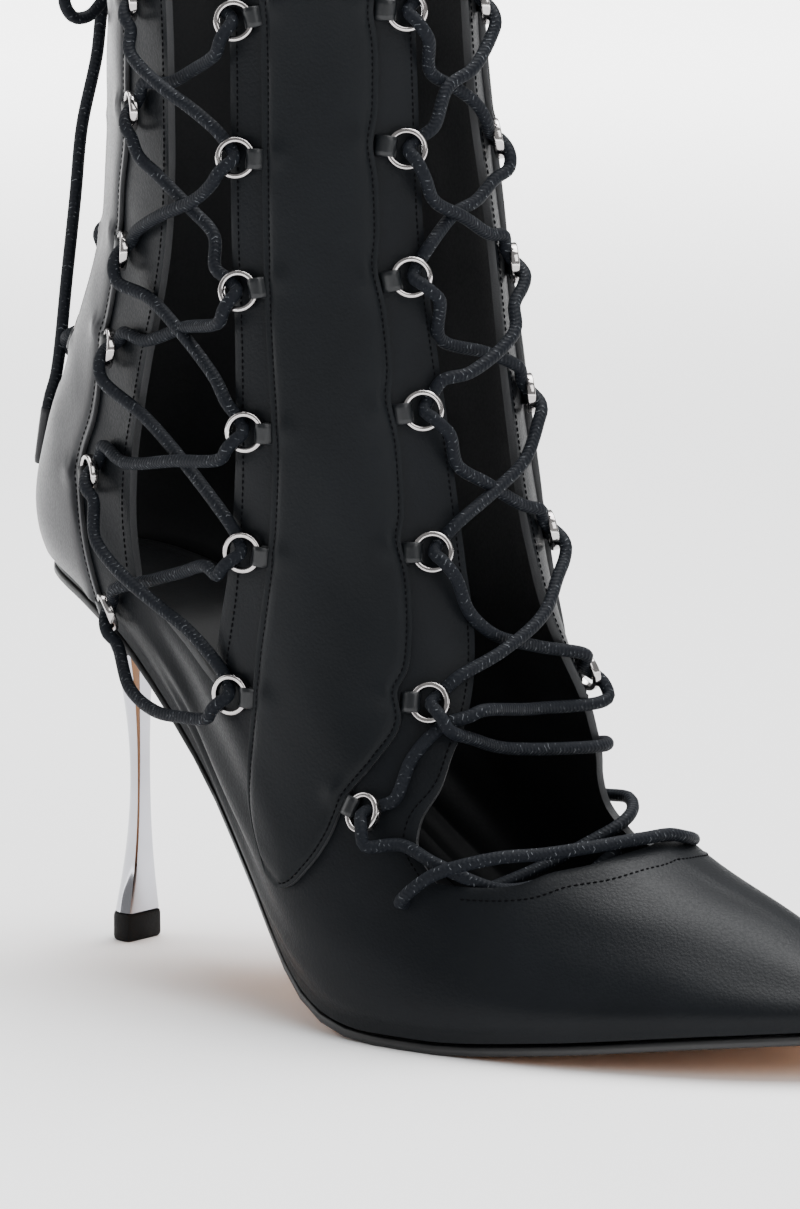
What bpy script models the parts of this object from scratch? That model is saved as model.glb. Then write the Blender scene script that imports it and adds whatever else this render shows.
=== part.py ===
# Lace up ankle boot, right shoe, standing on its own sole and heel.
# Frame: origin on the floor under the heel, +X to the toe, +Y to the inner side of the foot,
# +Z up, metres.
import math
from collections import namedtuple

import bmesh
import bpy
from mathutils import Matrix, Vector

# Driving sizes
LENGTH = 0.239          # back of the heel cup to the toe tip
BALL_HALF_WIDTH = 0.0435
HEEL_HEIGHT = 0.089     # underside of the outsole above the floor, at the back
TOE_SPRING = 0.0092
BACK_RISE = 0.1511      # outsole edge to collar up the back line
FRONT_RISE = 0.2299     # outsole edge to collar up the front line
TOE_SWING = 0.008       # toe tip off the heel's centre line, to the inner side

# Thicknesses and gaps
UPPER_WALL = 0.0018
OVERLAY_WALL = 0.0012
OVERLAY_GAP = 0.0005    # curved leather over curved leather
SOLE_THICKNESS = 0.0030
SEAT_GAP = 0.0008       # upper and insole over the outsole
PIECE_GAP = 0.0003
INSOLE_THICKNESS = 0.0013
INSOLE_CLEARANCE = 0.0007

# Eyelet rings and lace
RING_OUTER_RADIUS = 0.00475
RING_WIRE_RADIUS = 0.0008
RING_LIFT = 0.0004
RING_REACH = 0.0056     # ring centre off the edge of the overlay that holds it
TAB_WIDTH = 0.0048
LACE_DIAMETER = 0.0029
LACE_LIFT = RING_LIFT + 2 * RING_WIRE_RADIUS + PIECE_GAP + LACE_DIAMETER / 2 + 0.0004
STRAND_REACH = 0.007    # ring centre to where the strand leaves for the crossing
BOW_TAIL_DROP = 0.112
LOW_CROSS_FORWARD = 0.006   # lowest front crossing, forward and up off its corners' middle
LOW_CROSS_UP = 0.002
KNOT_RADII = (0.0027, 0.0041, 0.0031)
KNOT_LIFT = 0.0056      # knot's centre off the surface behind the back gap

# Heel
HEEL_BREAST_X = 0.0255  # flat front face of the heel
ORIGIN_X = 0.0215       # middle of the top lift, forward of the heel cup's back
LIFT_HEIGHT = 0.0065
STEM_TOP_Z = 0.068
COVER_BACK_X = 0.008
COVER_FRONT_X = 0.031

# Outsole underside along the foot: share of LENGTH, then shares of HEEL_HEIGHT and TOE_SPRING
SoleStation = namedtuple("SoleStation", "along heel spring")
SOLE_LINE = (
    SoleStation(0.000, 1.000, 0.00),
    SoleStation(0.063, 0.975, 0.00),
    SoleStation(0.126, 0.927, 0.00),
    SoleStation(0.188, 0.826, 0.00),
    SoleStation(0.238, 0.680, 0.00),
    SoleStation(0.285, 0.522, 0.00),
    SoleStation(0.326, 0.371, 0.00),
    SoleStation(0.368, 0.247, 0.00),
    SoleStation(0.410, 0.146, 0.00),
    SoleStation(0.452, 0.070, 0.00),
    SoleStation(0.502, 0.018, 0.00),
    SoleStation(0.544, 0.000, 0.00),
    SoleStation(0.628, 0.000, 0.00),
    SoleStation(0.736, 0.000, 0.28),
    SoleStation(0.879, 0.000, 0.74),
    SoleStation(1.000, 0.000, 1.00),
)

# Level sections from the outsole edge up to the collar. Back and front ends are shares of LENGTH,
# their rises shares of BACK_RISE and FRONT_RISE. Tilt is 0 where the section follows the outsole
# and 1 where it is straight. The widths are shares of BALL_HALF_WIDTH at each eighth of the way
# round from the back line to the front line.
Section = namedtuple("Section", "back back_rise front front_rise tilt widths")
SECTIONS = (
    Section(0.021, 0.000, 1.000, 0.000, 0.00, (0.36, 0.56, 0.55, 0.93, 0.89, 0.61, 0.26)),
    Section(0.013, 0.056, 0.998, 0.019, 0.00, (0.41, 0.64, 0.66, 1.00, 0.94, 0.64, 0.29)),
    Section(0.016, 0.129, 0.954, 0.044, 0.02, (0.43, 0.66, 0.72, 1.00, 0.94, 0.64, 0.30)),
    Section(0.031, 0.218, 0.870, 0.089, 0.08, (0.41, 0.63, 0.76, 0.93, 0.89, 0.62, 0.31)),
    Section(0.054, 0.316, 0.762, 0.146, 0.20, (0.39, 0.61, 0.77, 0.86, 0.83, 0.61, 0.31)),
    Section(0.079, 0.417, 0.661, 0.228, 0.42, (0.38, 0.60, 0.77, 0.84, 0.79, 0.60, 0.32)),
    Section(0.100, 0.518, 0.598, 0.331, 0.66, (0.36, 0.59, 0.76, 0.83, 0.78, 0.60, 0.33)),
    Section(0.113, 0.617, 0.561, 0.448, 0.84, (0.34, 0.57, 0.74, 0.82, 0.78, 0.61, 0.33)),
    Section(0.117, 0.719, 0.536, 0.586, 0.94, (0.33, 0.56, 0.72, 0.80, 0.76, 0.59, 0.32)),
    Section(0.117, 0.818, 0.515, 0.726, 1.00, (0.32, 0.54, 0.70, 0.78, 0.72, 0.55, 0.31)),
    Section(0.115, 0.910, 0.498, 0.862, 1.00, (0.30, 0.51, 0.67, 0.74, 0.68, 0.51, 0.28)),
    Section(0.111, 1.000, 0.487, 1.000, 1.00, (0.30, 0.49, 0.66, 0.72, 0.67, 0.49, 0.28)),
)
TOP = len(SECTIONS) - 1
LASTED_LEVEL = 0.35     # below this level the upper stands straight up off the outsole

# Where the closed band ends and the lacing gaps begin: share round the side, then level
GAP_FOOT = ((0.0, 3.4), (0.03, 3.4), (0.17, 2.9), (0.305, 2.35), (0.345, 2.76), (0.406, 3.46),
            (0.43, 3.65), (0.52, 3.62), (0.65, 3.48), (0.725, 3.6), (0.78, 3.85), (0.84, 4.0),
            (0.914, 4.17), (1.0, 4.26))
# Panel edges, share round the side against height: 0 outsole, 1 foot of the gap, 2 collar
BACK_GAP_EDGE = ((0.0, 0.03), (2.0, 0.03))
COUNTER_EDGE = ((0.0, 0.31), (1.0, 0.31), (1.1, 0.307), (1.2, 0.315), (1.4, 0.356), (1.6, 0.414),
                (1.8, 0.43), (2.0, 0.43))
PANEL_EDGE = ((0.0, 0.36), (0.5, 0.385), (1.0, 0.43), (1.2, 0.491), (1.4, 0.536), (1.7, 0.558),
              (2.0, 0.57))
THROAT_EDGE = ((0.0, 0.64), (1.0, 0.652), (1.05, 0.655), (1.1, 0.682), (1.2, 0.81), (1.3, 0.887),
               (1.4, 0.907), (1.7, 0.902), (2.0, 0.92))
# Overlay edges, share round the side against level
UPRIGHT_BACK = ((0.0, 0.104), (11.0, 0.104))
UPRIGHT_FRONT = ((0.0, 0.25), (1.33, 0.249), (2.02, 0.243), (2.99, 0.227), (4.02, 0.243),
                 (5.2, 0.245), (6.02, 0.256), (7.53, 0.27), (8.43, 0.30), (9.35, 0.307), (11.0, 0.31))
STRAP_BACK = ((2.35, 0.468), (2.78, 0.456), (3.43, 0.469), (3.91, 0.485), (4.62, 0.516),
              (5.64, 0.564), (6.31, 0.591), (6.8, 0.605), (8.13, 0.613), (10.07, 0.625), (11.0, 0.63))
STRAP_FRONT = ((2.35, 0.478), (2.52, 0.491), (3.05, 0.524), (3.62, 0.562), (4.22, 0.607),
               (4.73, 0.666), (5.14, 0.714), (5.53, 0.744), (6.06, 0.779), (7.24, 0.812),
               (9.14, 0.815), (11.0, 0.84))
UPRIGHT_FOOT_LEVEL = 3.1
# Levels of the eyelet rows, top row first
FRONT_ROWS = (10.58, 9.63, 8.75, 7.85, 6.84, 5.49, 4.11)
PANEL_ROWS = (10.35, 9.17, 8.07, 6.91, 5.72, 4.06)
COUNTER_ROWS = (10.21, 8.92, 7.08, 5.47, 3.14, 0.9)
BACK_ROWS = (9.65, 7.93, 6.2, 4.36)
VAMP_HOLE = (0.609, 3.1)
THROAT_CORNER = (0.662, 3.95)     # where the lowest strands pass over the throat's edge
TOPLINE_PLACE = (0.70, 3.8)


def between(table, at):
    # straight interpolation in a table of pairs
    if at <= table[0][0]:
        return table[0][1]
    for (a, low), (b, high) in zip(table, table[1:]):
        if at <= b:
            return low + (high - low) * (at - a) / (b - a)
    return table[-1][1]


def smooth(knots, values, at):
    # cubic interpolation with three-point slopes
    last = len(knots) - 1
    at = min(max(at, knots[0]), knots[last])
    i = 0
    while i < last - 1 and at > knots[i + 1]:
        i += 1

    def slope(k):
        if k == 0:
            return (values[1] - values[0]) / (knots[1] - knots[0])
        if k == last:
            return (values[last] - values[last - 1]) / (knots[last] - knots[last - 1])
        before = knots[k] - knots[k - 1]
        after = knots[k + 1] - knots[k]
        total = before * before * values[k + 1] + (after * after - before * before) * values[k]
        total -= after * after * values[k - 1]
        return total / (before * after * (before + after))

    span = knots[i + 1] - knots[i]
    u = (at - knots[i]) / span
    result = (2 * u ** 3 - 3 * u ** 2 + 1) * values[i] + (u ** 3 - 2 * u ** 2 + u) * span * slope(i)
    return result + (3 * u ** 2 - 2 * u ** 3) * values[i + 1] + (u ** 3 - u ** 2) * span * slope(i + 1)


SOLE_ALONG = [station.along for station in SOLE_LINE]
SOLE_HEEL = [station.heel for station in SOLE_LINE]
SOLE_SPRING = [station.spring for station in SOLE_LINE]
LEVELS = list(range(len(SECTIONS)))
ROUND = [i / 8 for i in range(9)]


def sole_z(x):
    along = x / LENGTH
    heel = max(0.0, smooth(SOLE_ALONG, SOLE_HEEL, along)) * HEEL_HEIGHT
    return heel + max(0.0, smooth(SOLE_ALONG, SOLE_SPRING, along)) * TOE_SPRING


def edge_z(x):
    return sole_z(x) + SOLE_THICKNESS


def section_value(name, level):
    return smooth(LEVELS, [getattr(section, name) for section in SECTIONS], level)


def ease(low, high, at):
    u = min(max((at - low) / (high - low), 0.0), 1.0)
    return u * u * (3 - 2 * u)


def surface(around, level):
    # outer face of the upper: around runs from 0 at the back line to -1 along the outer side
    # or +1 along the inner side of the foot, both at the front line
    share = min(abs(around), 1.0)
    inner = around > 0
    turn = (1 - math.cos(math.pi * share)) / 2
    plan = max(level, LASTED_LEVEL)
    back = section_value("back", plan) * LENGTH
    front = section_value("front", plan) * LENGTH
    x = back + (front - back) * turn
    back_rise = max(0.0, section_value("back_rise", level)) * BACK_RISE
    front_rise = max(0.0, section_value("front_rise", level)) * FRONT_RISE
    low = edge_z(x) + back_rise + (front_rise - back_rise) * turn
    line = (edge_z(back) + back_rise) * (1 - turn) + (edge_z(front) + front_rise) * turn
    tilt = min(max(section_value("tilt", level), 0.0), 1.0)
    z = (1 - tilt) * low + tilt * line
    widths = [0.0]
    for i in range(7):
        widths.append(smooth(LEVELS, [section.widths[i] for section in SECTIONS], plan))
    widths.append(0.0)
    width = max(0.0, smooth(ROUND, widths, share)) * BALL_HALF_WIDTH
    height = level / TOP
    bend = (x / LENGTH - 0.565) / 0.167
    if inner:
        width *= 1 - 0.12 * math.exp(-bend * bend) * (1 - height)
        width *= 1 + 0.18 * ease(0.6, 0.85, share) * ease(0.3, 0.5, height)
    swing = TOE_SWING * min(max((x / LENGTH - 0.418) / 0.586, 0.0), 1.0) ** 1.5
    waist = (x / LENGTH - 0.536) / 0.126
    swing -= 0.046 * BALL_HALF_WIDTH * math.exp(-waist * waist) * (1 - height)
    return Vector((x, swing + (width if inner else -width), z))


def frame_at(around, level):
    # point, outward normal and the direction of growing share round the side
    share = min(max(abs(around), 0.004), 0.996)
    side = 1 if around > 0 else -1
    step = 0.003
    along = surface(side * (share + step), level) - surface(side * (share - step), level)
    upper_level = min(level + 0.05, TOP)
    up = surface(side * share, upper_level) - surface(side * share, upper_level - 0.1)
    normal = along.cross(up) * -side
    normal.normalize()
    along.normalize()
    return surface(around, level), normal, along


def raised(around, level, lift):
    point, normal, _ = frame_at(around, level)
    return point + normal * lift


def gap_level(share, height):
    foot = between(GAP_FOOT, share)
    if height <= 1:
        return LASTED_LEVEL + (foot - LASTED_LEVEL) * height
    return foot + (TOP - foot) * (height - 1)


def material(name, colour, roughness, metallic):
    item = bpy.data.materials.new(name)
    item.use_nodes = True
    shader = item.node_tree.nodes["Principled BSDF"]
    shader.inputs["Base Color"].default_value = (*colour, 1.0)
    shader.inputs["Roughness"].default_value = roughness
    shader.inputs["Metallic"].default_value = metallic
    return item


def add_object(name, mesh, look, collection):
    item = bpy.data.objects.new(name, mesh)
    collection.objects.link(item)
    if look is not None:
        item.data.materials.clear()
        item.data.materials.append(look)
    return item


def mesh_from(name, points, faces):
    # one mesh from shared points, loose points dropped and faces turned out
    mesh = bpy.data.meshes.new(name)
    shape = bmesh.new()
    verts = [shape.verts.new(point) for point in points]
    for face in faces:
        corners = [verts[i] for i in dict.fromkeys(face)]
        if len(corners) > 2:
            shape.faces.new(corners)
    bmesh.ops.delete(shape, geom=[v for v in shape.verts if not v.link_faces], context="VERTS")
    bmesh.ops.recalc_face_normals(shape, faces=shape.faces)
    shape.to_mesh(mesh)
    shape.free()
    return mesh


def facing_out(mesh, normal):
    # an open sheet's normals all point the way its first face should
    if mesh.polygons[0].normal.dot(normal) < 0:
        mesh.flip_normals()
    return mesh


def thicken(item, thickness, offset):
    solid = item.modifiers.new("wall", "SOLIDIFY")
    solid.thickness = thickness
    solid.offset = offset
    solid.use_rim = True
    return solid


def lofted(name, rings):
    # closed loft through rings of equal count with flat ends
    count = len(rings[0])
    points = [point for ring in rings for point in ring]
    faces = [list(range(count)), list(range(len(points) - count, len(points)))]
    for k in range(len(rings) - 1):
        for i in range(count):
            j = (i + 1) % count
            faces.append([k * count + i, k * count + j, (k + 1) * count + j, (k + 1) * count + i])
    return mesh_from(name, points, faces)


def smooth_route(points, spacing):
    # even points on a soft curve through the route's own points
    route = [points[0]]
    ends = [points[0] * 2 - points[1]] + list(points) + [points[-1] * 2 - points[-2]]
    for a, b, c, d in zip(ends, ends[1:], ends[2:], ends[3:]):
        count = max(1, round((c - b).length / spacing))
        for k in range(1, count + 1):
            u = k / count
            route.append(0.5 * (b * 2 + (c - a) * u + (a * 2 - b * 5 + c * 4 - d) * u * u
                                + (b * 3 - a - c * 3 + d) * u ** 3))
    return route


def tube(name, route, diameter, look, collection, resolution=2):
    # round tube along a route, made into one closed mesh
    curve = bpy.data.curves.new(name, "CURVE")
    curve.dimensions = "3D"
    curve.bevel_depth = diameter / 2
    curve.bevel_resolution = resolution
    curve.use_fill_caps = True
    spline = curve.splines.new("POLY")
    spline.points.add(len(route) - 1)
    for spot, point in zip(spline.points, route):
        spot.co = (*point, 1.0)
    guide = bpy.data.objects.new(name + "_line", curve)
    collection.objects.link(guide)
    ready = guide.evaluated_get(bpy.context.evaluated_depsgraph_get())
    mesh = bpy.data.meshes.new_from_object(ready)
    bpy.data.objects.remove(guide)
    shape = bmesh.new()
    shape.from_mesh(mesh)
    bmesh.ops.remove_doubles(shape, verts=shape.verts, dist=0.00002)
    bmesh.ops.recalc_face_normals(shape, faces=shape.faces)
    shape.to_mesh(mesh)
    shape.free()
    return add_object(name, mesh, look, collection)


def join_solid(item, other):
    union = item.modifiers.new("join " + other.name, "BOOLEAN")
    union.operation = "UNION"
    union.object = other
    union.use_self = True
    other.hide_render = True
    other.display_type = "WIRE"


for item in list(bpy.data.objects):
    bpy.data.objects.remove(item)

boot = bpy.data.collections.new("lace_up_ankle_boot")
guides = bpy.data.collections.new("guides")
bpy.context.scene.collection.children.link(boot)
bpy.context.scene.collection.children.link(guides)

leather = material("upper_leather", (0.014, 0.015, 0.018), 0.5, 0.0)
overlay_leather = material("overlay_leather", (0.016, 0.017, 0.020), 0.45, 0.0)
sole_black = material("outsole_black", (0.012, 0.012, 0.013), 0.4, 0.0)
insole_black = material("insole_black", (0.010, 0.010, 0.011), 0.25, 0.0)
cover_black = material("heel_cover_black", (0.014, 0.015, 0.018), 0.4, 0.0)
chrome = material("heel_chrome", (0.75, 0.75, 0.78), 0.08, 1.0)
rubber = material("top_lift_rubber", (0.02, 0.02, 0.02), 0.6, 0.0)
ring_metal = material("eyelet_metal", (0.52, 0.51, 0.50), 0.25, 1.0)
cord_black = material("lace_cord", (0.012, 0.013, 0.016), 0.7, 0.0)

# Upper: one sheet round the foot, its gaps left open, given its wall inwards
COLUMN_COUNTS = (1, 7, 2, 7, 8)
GAP_COLUMNS = (True, False, True, False, True)
PANEL_LEVELS = (1.06, 1.12, 1.2, 1.3, 1.42, 1.56, 1.7, 1.85, 2.0)
BAND_LEVELS = (0.0, 0.3, 0.65, 1.0)
HEIGHTS = (-1.0,) + BAND_LEVELS + PANEL_LEVELS


def column_shares(height):
    at = max(height, 0.0)
    stops = [0.0, between(BACK_GAP_EDGE, at), between(COUNTER_EDGE, at), between(PANEL_EDGE, at),
             between(THROAT_EDGE, at), 1.0]
    shares = [0.0]
    for low, high, count in zip(stops, stops[1:], COLUMN_COUNTS):
        shares += [low + (high - low) * (k + 1) / count for k in range(count)]
    return shares


def upper_sheet():
    open_column = []
    for count, gap in zip(COLUMN_COUNTS, GAP_COLUMNS):
        open_column += [gap] * count
    side_count = len(open_column)
    points = []
    for height in HEIGHTS:
        shares = column_shares(height)
        around = [-share for share in shares] + [share for share in reversed(shares[1:-1])]
        for turn in around:
            level = 0.0 if height < 0 else gap_level(abs(turn), height)
            points.append(surface(turn, level))
    width = 2 * side_count
    faces = []
    for row in range(len(HEIGHTS) - 1):
        in_band = HEIGHTS[row + 1] <= 1.0
        for i in range(width):
            column = i if i < side_count else width - 1 - i
            if in_band or not open_column[column]:
                j = (i + 1) % width
                faces.append([row * width + i, row * width + j,
                              (row + 1) * width + j, (row + 1) * width + i])
    return mesh_from("upper", points, faces)


upper = add_object("upper", facing_out(upper_sheet(), Vector((-1, 0, 0))), leather, boot)
thicken(upper, UPPER_WALL, -1.0)

# Outsole: the outline of the upper's foot, drawn down to the sole line
SOLE_SHARES = [i / 34 for i in range(35)]


def outline(share, inset):
    near = surface(-share, 0.0)
    far = surface(share, 0.0)
    result = []
    for point, side in ((near, -1), (far, 1)):
        _, normal, _ = frame_at(side * share, 0.0)
        flat = Vector((normal.x, normal.y, 0)).normalized()
        result.append(point - flat * inset)
    return result


def plate(name, stations, floor_z, drop):
    # a sheet across the foot, drawn straight down by drop
    shape = bmesh.new()
    rows = []
    for near, far in stations:
        if (far - near).length < 0.0015:
            middle = (near + far) / 2
            rows.append([shape.verts.new((middle.x, middle.y, floor_z(middle.x)))])
        else:
            spots = [near, (near + far) / 2, far]
            rows.append([shape.verts.new((p.x, p.y, floor_z(p.x))) for p in spots])
    for low, high in zip(rows, rows[1:]):
        for k in range(2):
            corners = [low[min(k, len(low) - 1)], low[min(k + 1, len(low) - 1)],
                       high[min(k + 1, len(high) - 1)], high[min(k, len(high) - 1)]]
            shape.faces.new(list(dict.fromkeys(corners)))
    drawn = bmesh.ops.extrude_face_region(shape, geom=list(shape.faces))
    moved = [g for g in drawn["geom"] if isinstance(g, bmesh.types.BMVert)]
    bmesh.ops.translate(shape, verts=moved, vec=(0, 0, -drop))
    bmesh.ops.recalc_face_normals(shape, faces=shape.faces)
    mesh = bpy.data.meshes.new(name)
    shape.to_mesh(mesh)
    shape.free()
    return mesh


sole_stations = [outline(share, 0.0) for share in SOLE_SHARES]
sole_mesh = plate("outsole", sole_stations, lambda x: edge_z(x) - SEAT_GAP, SOLE_THICKNESS - SEAT_GAP)
add_object("outsole", sole_mesh, sole_black, boot)

INSOLE_SHARES = [0.06 + 0.86 * i / 26 for i in range(27)]
insole_stations = [outline(share, UPPER_WALL + INSOLE_CLEARANCE) for share in INSOLE_SHARES]
insole_mesh = plate("insole", insole_stations, lambda x: edge_z(x) + SEAT_GAP / 2 + INSOLE_THICKNESS,
                    INSOLE_THICKNESS)
add_object("insole", insole_mesh, insole_black, boot)

# Heel: flat breast to the toe, round back
ARC_STEPS = 9


def heel_ring(width, depth, z, breast=HEEL_BREAST_X):
    # breast corners, then a half round back
    ring = [Vector((breast, -width / 2, z)), Vector((breast, width / 2, z))]
    for k in range(ARC_STEPS):
        turn = math.pi / 2 - math.pi * k / (ARC_STEPS - 1)
        ring.append(Vector((breast - depth * (0.35 + 0.65 * math.cos(turn)),
                            width / 2 * math.sin(turn), z)))
    return ring


HeelSection = namedtuple("HeelSection", "height width depth")
STEM = (
    HeelSection(0.000, 0.0106, 0.0075),
    HeelSection(0.120, 0.0082, 0.0062),
    HeelSection(0.300, 0.0057, 0.0046),
    HeelSection(0.520, 0.0046, 0.0038),
    HeelSection(0.740, 0.0052, 0.0047),
    HeelSection(0.880, 0.0066, 0.0063),
    HeelSection(1.000, 0.0090, 0.0080),
)
stem_foot = LIFT_HEIGHT + PIECE_GAP
stem_rings = [heel_ring(s.width, s.depth, stem_foot + (STEM_TOP_Z - stem_foot) * s.height)
              for s in STEM]
add_object("heel", lofted("heel", stem_rings), chrome, boot)

lift = add_object("top_lift", lofted("top_lift", [heel_ring(0.0118, 0.0078, 0.0),
                                                  heel_ring(0.0118, 0.0078, LIFT_HEIGHT)]), rubber, boot)

cover_foot = STEM_TOP_Z + PIECE_GAP
seat_back = sole_z(COVER_BACK_X) - PIECE_GAP
seat_front = sole_z(COVER_FRONT_X) - PIECE_GAP


def seat_z(x):
    slope = (seat_front - seat_back) / (COVER_FRONT_X - COVER_BACK_X)
    return seat_back + slope * (x - COVER_BACK_X)


cover_rings = [heel_ring(0.0094, 0.0084, cover_foot)]
for share, width, depth, breast in ((0.35, 0.0130, 0.0120, 0.0265), (0.7, 0.0190, 0.0175, 0.0290),
                                    (1.0, 0.0250, 0.0230, COVER_FRONT_X)):
    ring = heel_ring(width, depth, 0.0, breast)
    for point in ring:
        point.z = cover_foot + (seat_z(point.x) - cover_foot) * share
    cover_rings.append(ring)
add_object("heel_cover", lofted("heel_cover", cover_rings), cover_black, boot)


# Overlays: strips of the same surface, held off it and given their wall outwards
def strip_mesh(name, lines):
    width = len(lines[0])
    points = [point for line in lines for point in line]
    faces = []
    for row in range(len(lines) - 1):
        for i in range(width - 1):
            faces.append([row * width + i, row * width + i + 1,
                          (row + 1) * width + i + 1, (row + 1) * width + i])
    return mesh_from(name, points, faces)


STRAP_LEVELS = (2.35, 2.5, 2.8, 3.2, 3.7, 4.2, 4.7, 5.2, 5.7, 6.4, 7.1, 7.9, 8.7, 9.5, 10.3, 11.0)
STRAP_COLUMNS = 6


def front_overlay(name, side):
    lines = []
    for level in STRAP_LEVELS:
        low = between(STRAP_BACK, level)
        high = between(STRAP_FRONT, level)
        lines.append([raised(side * (low + (high - low) * k / STRAP_COLUMNS), level, OVERLAY_GAP)
                      for k in range(STRAP_COLUMNS + 1)])
    _, outward, _ = frame_at(side * 0.47, STRAP_LEVELS[0])
    item = add_object(name, facing_out(strip_mesh(name, lines), outward), overlay_leather, boot)
    thicken(item, OVERLAY_WALL, 1.0)


front_overlay("overlay_front_outer", -1)
front_overlay("overlay_front_inner", 1)

COUNTER_LEVELS = (0.35, 1.0, 1.7, 2.4, UPRIGHT_FOOT_LEVEL, 3.8, 4.6, 5.4, 6.2, 7.2, 8.4, 9.7, 11.0)
UPRIGHT_COLUMNS = 4
CUP_COLUMNS = 3


def counter_overlay():
    points = []
    for level in COUNTER_LEVELS:
        low = between(UPRIGHT_BACK, level)
        high = between(UPRIGHT_FRONT, level)
        shares = [low * k / CUP_COLUMNS for k in range(CUP_COLUMNS)]
        shares += [low + (high - low) * k / UPRIGHT_COLUMNS for k in range(UPRIGHT_COLUMNS + 1)]
        around = [-share for share in reversed(shares)] + shares[1:]
        points += [raised(turn, level, OVERLAY_GAP) for turn in around]
    width = 2 * (CUP_COLUMNS + UPRIGHT_COLUMNS) + 1
    faces = []
    for row in range(len(COUNTER_LEVELS) - 1):
        for i in range(width - 1):
            upright = i < UPRIGHT_COLUMNS or i >= width - 1 - UPRIGHT_COLUMNS
            if upright or COUNTER_LEVELS[row + 1] <= UPRIGHT_FOOT_LEVEL:
                faces.append([row * width + i, row * width + i + 1,
                              (row + 1) * width + i + 1, (row + 1) * width + i])
    return mesh_from("overlay_counter", points, faces)


counter_mesh = counter_overlay()
_, counter_out, _ = frame_at(-0.25, COUNTER_LEVELS[0])
counter = add_object("overlay_counter", facing_out(counter_mesh, counter_out), overlay_leather, boot)
thicken(counter, OVERLAY_WALL, 1.0)


# Eyelets: a ring and the leather tab that holds it, joined, then placed row by row
def eyelet_mesh():
    bpy.ops.mesh.primitive_torus_add(major_segments=8, minor_segments=4,
                                     major_radius=RING_OUTER_RADIUS - RING_WIRE_RADIUS,
                                     minor_radius=RING_WIRE_RADIUS)
    ring = bpy.context.object
    ring.location.z = RING_LIFT + RING_WIRE_RADIUS
    bpy.ops.mesh.primitive_cube_add(size=1.0)
    tab = bpy.context.object
    inner_end = RING_OUTER_RADIUS - 2 * RING_WIRE_RADIUS - 0.0007
    outer_end = RING_REACH - OVERLAY_GAP - 0.0009
    tab.scale = (outer_end - inner_end, TAB_WIDTH, 2 * RING_WIRE_RADIUS + 0.0005)
    tab.location = ((inner_end + outer_end) / 2, 0, RING_LIFT + RING_WIRE_RADIUS + 0.0002)
    join_solid(ring, tab)
    bpy.context.view_layer.update()
    ready = ring.evaluated_get(bpy.context.evaluated_depsgraph_get())
    mesh = bpy.data.meshes.new_from_object(ready)
    mesh.transform(ring.matrix_world)
    bpy.data.objects.remove(ring)
    bpy.data.objects.remove(tab)
    mesh.name = "eyelet"
    return mesh


def nearest_edge(edge_table, side, level, point):
    # closest place on an overlay's edge to a ring's centre
    spots = []
    for k in range(-16, 17):
        at = min(max(level + 0.08 * k, 0.0), TOP)
        spots.append(surface(side * between(edge_table, at), at))
    return min(spots, key=lambda spot: (spot - point).length)


def ring_share(edge_table, level, toward_front, side):
    # share round the side where a ring sits off the edge that holds it
    edge = between(edge_table, level)
    rate = (surface(side * (edge + 0.03), level) - surface(side * edge, level)).length / 0.03
    share = edge
    for _ in range(6):
        point = surface(side * share, level)
        distance = (point - nearest_edge(edge_table, side, level, point)).length
        share += (RING_REACH - distance) / rate * (1 if toward_front else -1)
    return share


eyelet = eyelet_mesh()
eyelet.materials.clear()
eyelet.materials.append(ring_metal)
RowSet = namedtuple("RowSet", "name edge levels toward_front")
ROW_SETS = (
    RowSet("front", STRAP_FRONT, FRONT_ROWS, True),
    RowSet("panel", STRAP_BACK, PANEL_ROWS, False),
    RowSet("counter", UPRIGHT_FRONT, COUNTER_ROWS, True),
    RowSet("back", UPRIGHT_BACK, BACK_ROWS, False),
)
ring_places = {}
for rows in ROW_SETS:
    for number, level in enumerate(rows.levels, 1):
        for side, side_name in ((-1, "outer"), (1, "inner")):
            share = ring_share(rows.edge, level, rows.toward_front, side)
            point, normal, along = frame_at(side * share, level)
            ring_places[rows.name, side, number] = (side * share, level)
            toward_edge = nearest_edge(rows.edge, side, level, point) - point
            toward_edge = (toward_edge - normal * toward_edge.dot(normal)).normalized()
            across = normal.cross(toward_edge)
            placed = Matrix((toward_edge, across, normal)).transposed().to_4x4()
            placed.translation = point
            item = bpy.data.objects.new("eyelet_%s_%s_%d" % (rows.name, side_name, number), eyelet)
            boot.objects.link(item)
            item.matrix_world = placed


# Laces: two strands that cross between the rows and are joined where they cross
def toward(start, end, reach):
    # place on the surface a given way from one ring toward another
    (a, level_a), (b, level_b) = start, end
    if level_a == VAMP_HOLE[1]:
        return raised(math.copysign(TOPLINE_PLACE[0], a), TOPLINE_PLACE[1], LACE_LIFT)
    if level_b == VAMP_HOLE[1]:
        return raised(math.copysign(THROAT_CORNER[0], a), THROAT_CORNER[1], LACE_LIFT)
    if a * b < 0 and abs(a) > 0.5:
        b = math.copysign(2 - abs(b), a)
    whole = (surface(a, level_a) - raised(end[0], end[1], 0)).length
    u = reach / max(whole, reach * 2.2)
    turn = a + (b - a) * u
    level = level_a + (level_b - level_a) * u
    return raised(turn, level, LACE_LIFT)


def strand_points(place, other, cross):
    return [toward(place, other, STRAND_REACH), cross, toward(other, place, STRAND_REACH)]


def ring_turn(place, step):
    # two points over a ring, so that the lace turns back without a kink
    turn, level = place
    return [raised(turn, level - step, LACE_LIFT), raised(turn, level + step, LACE_LIFT)]


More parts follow.
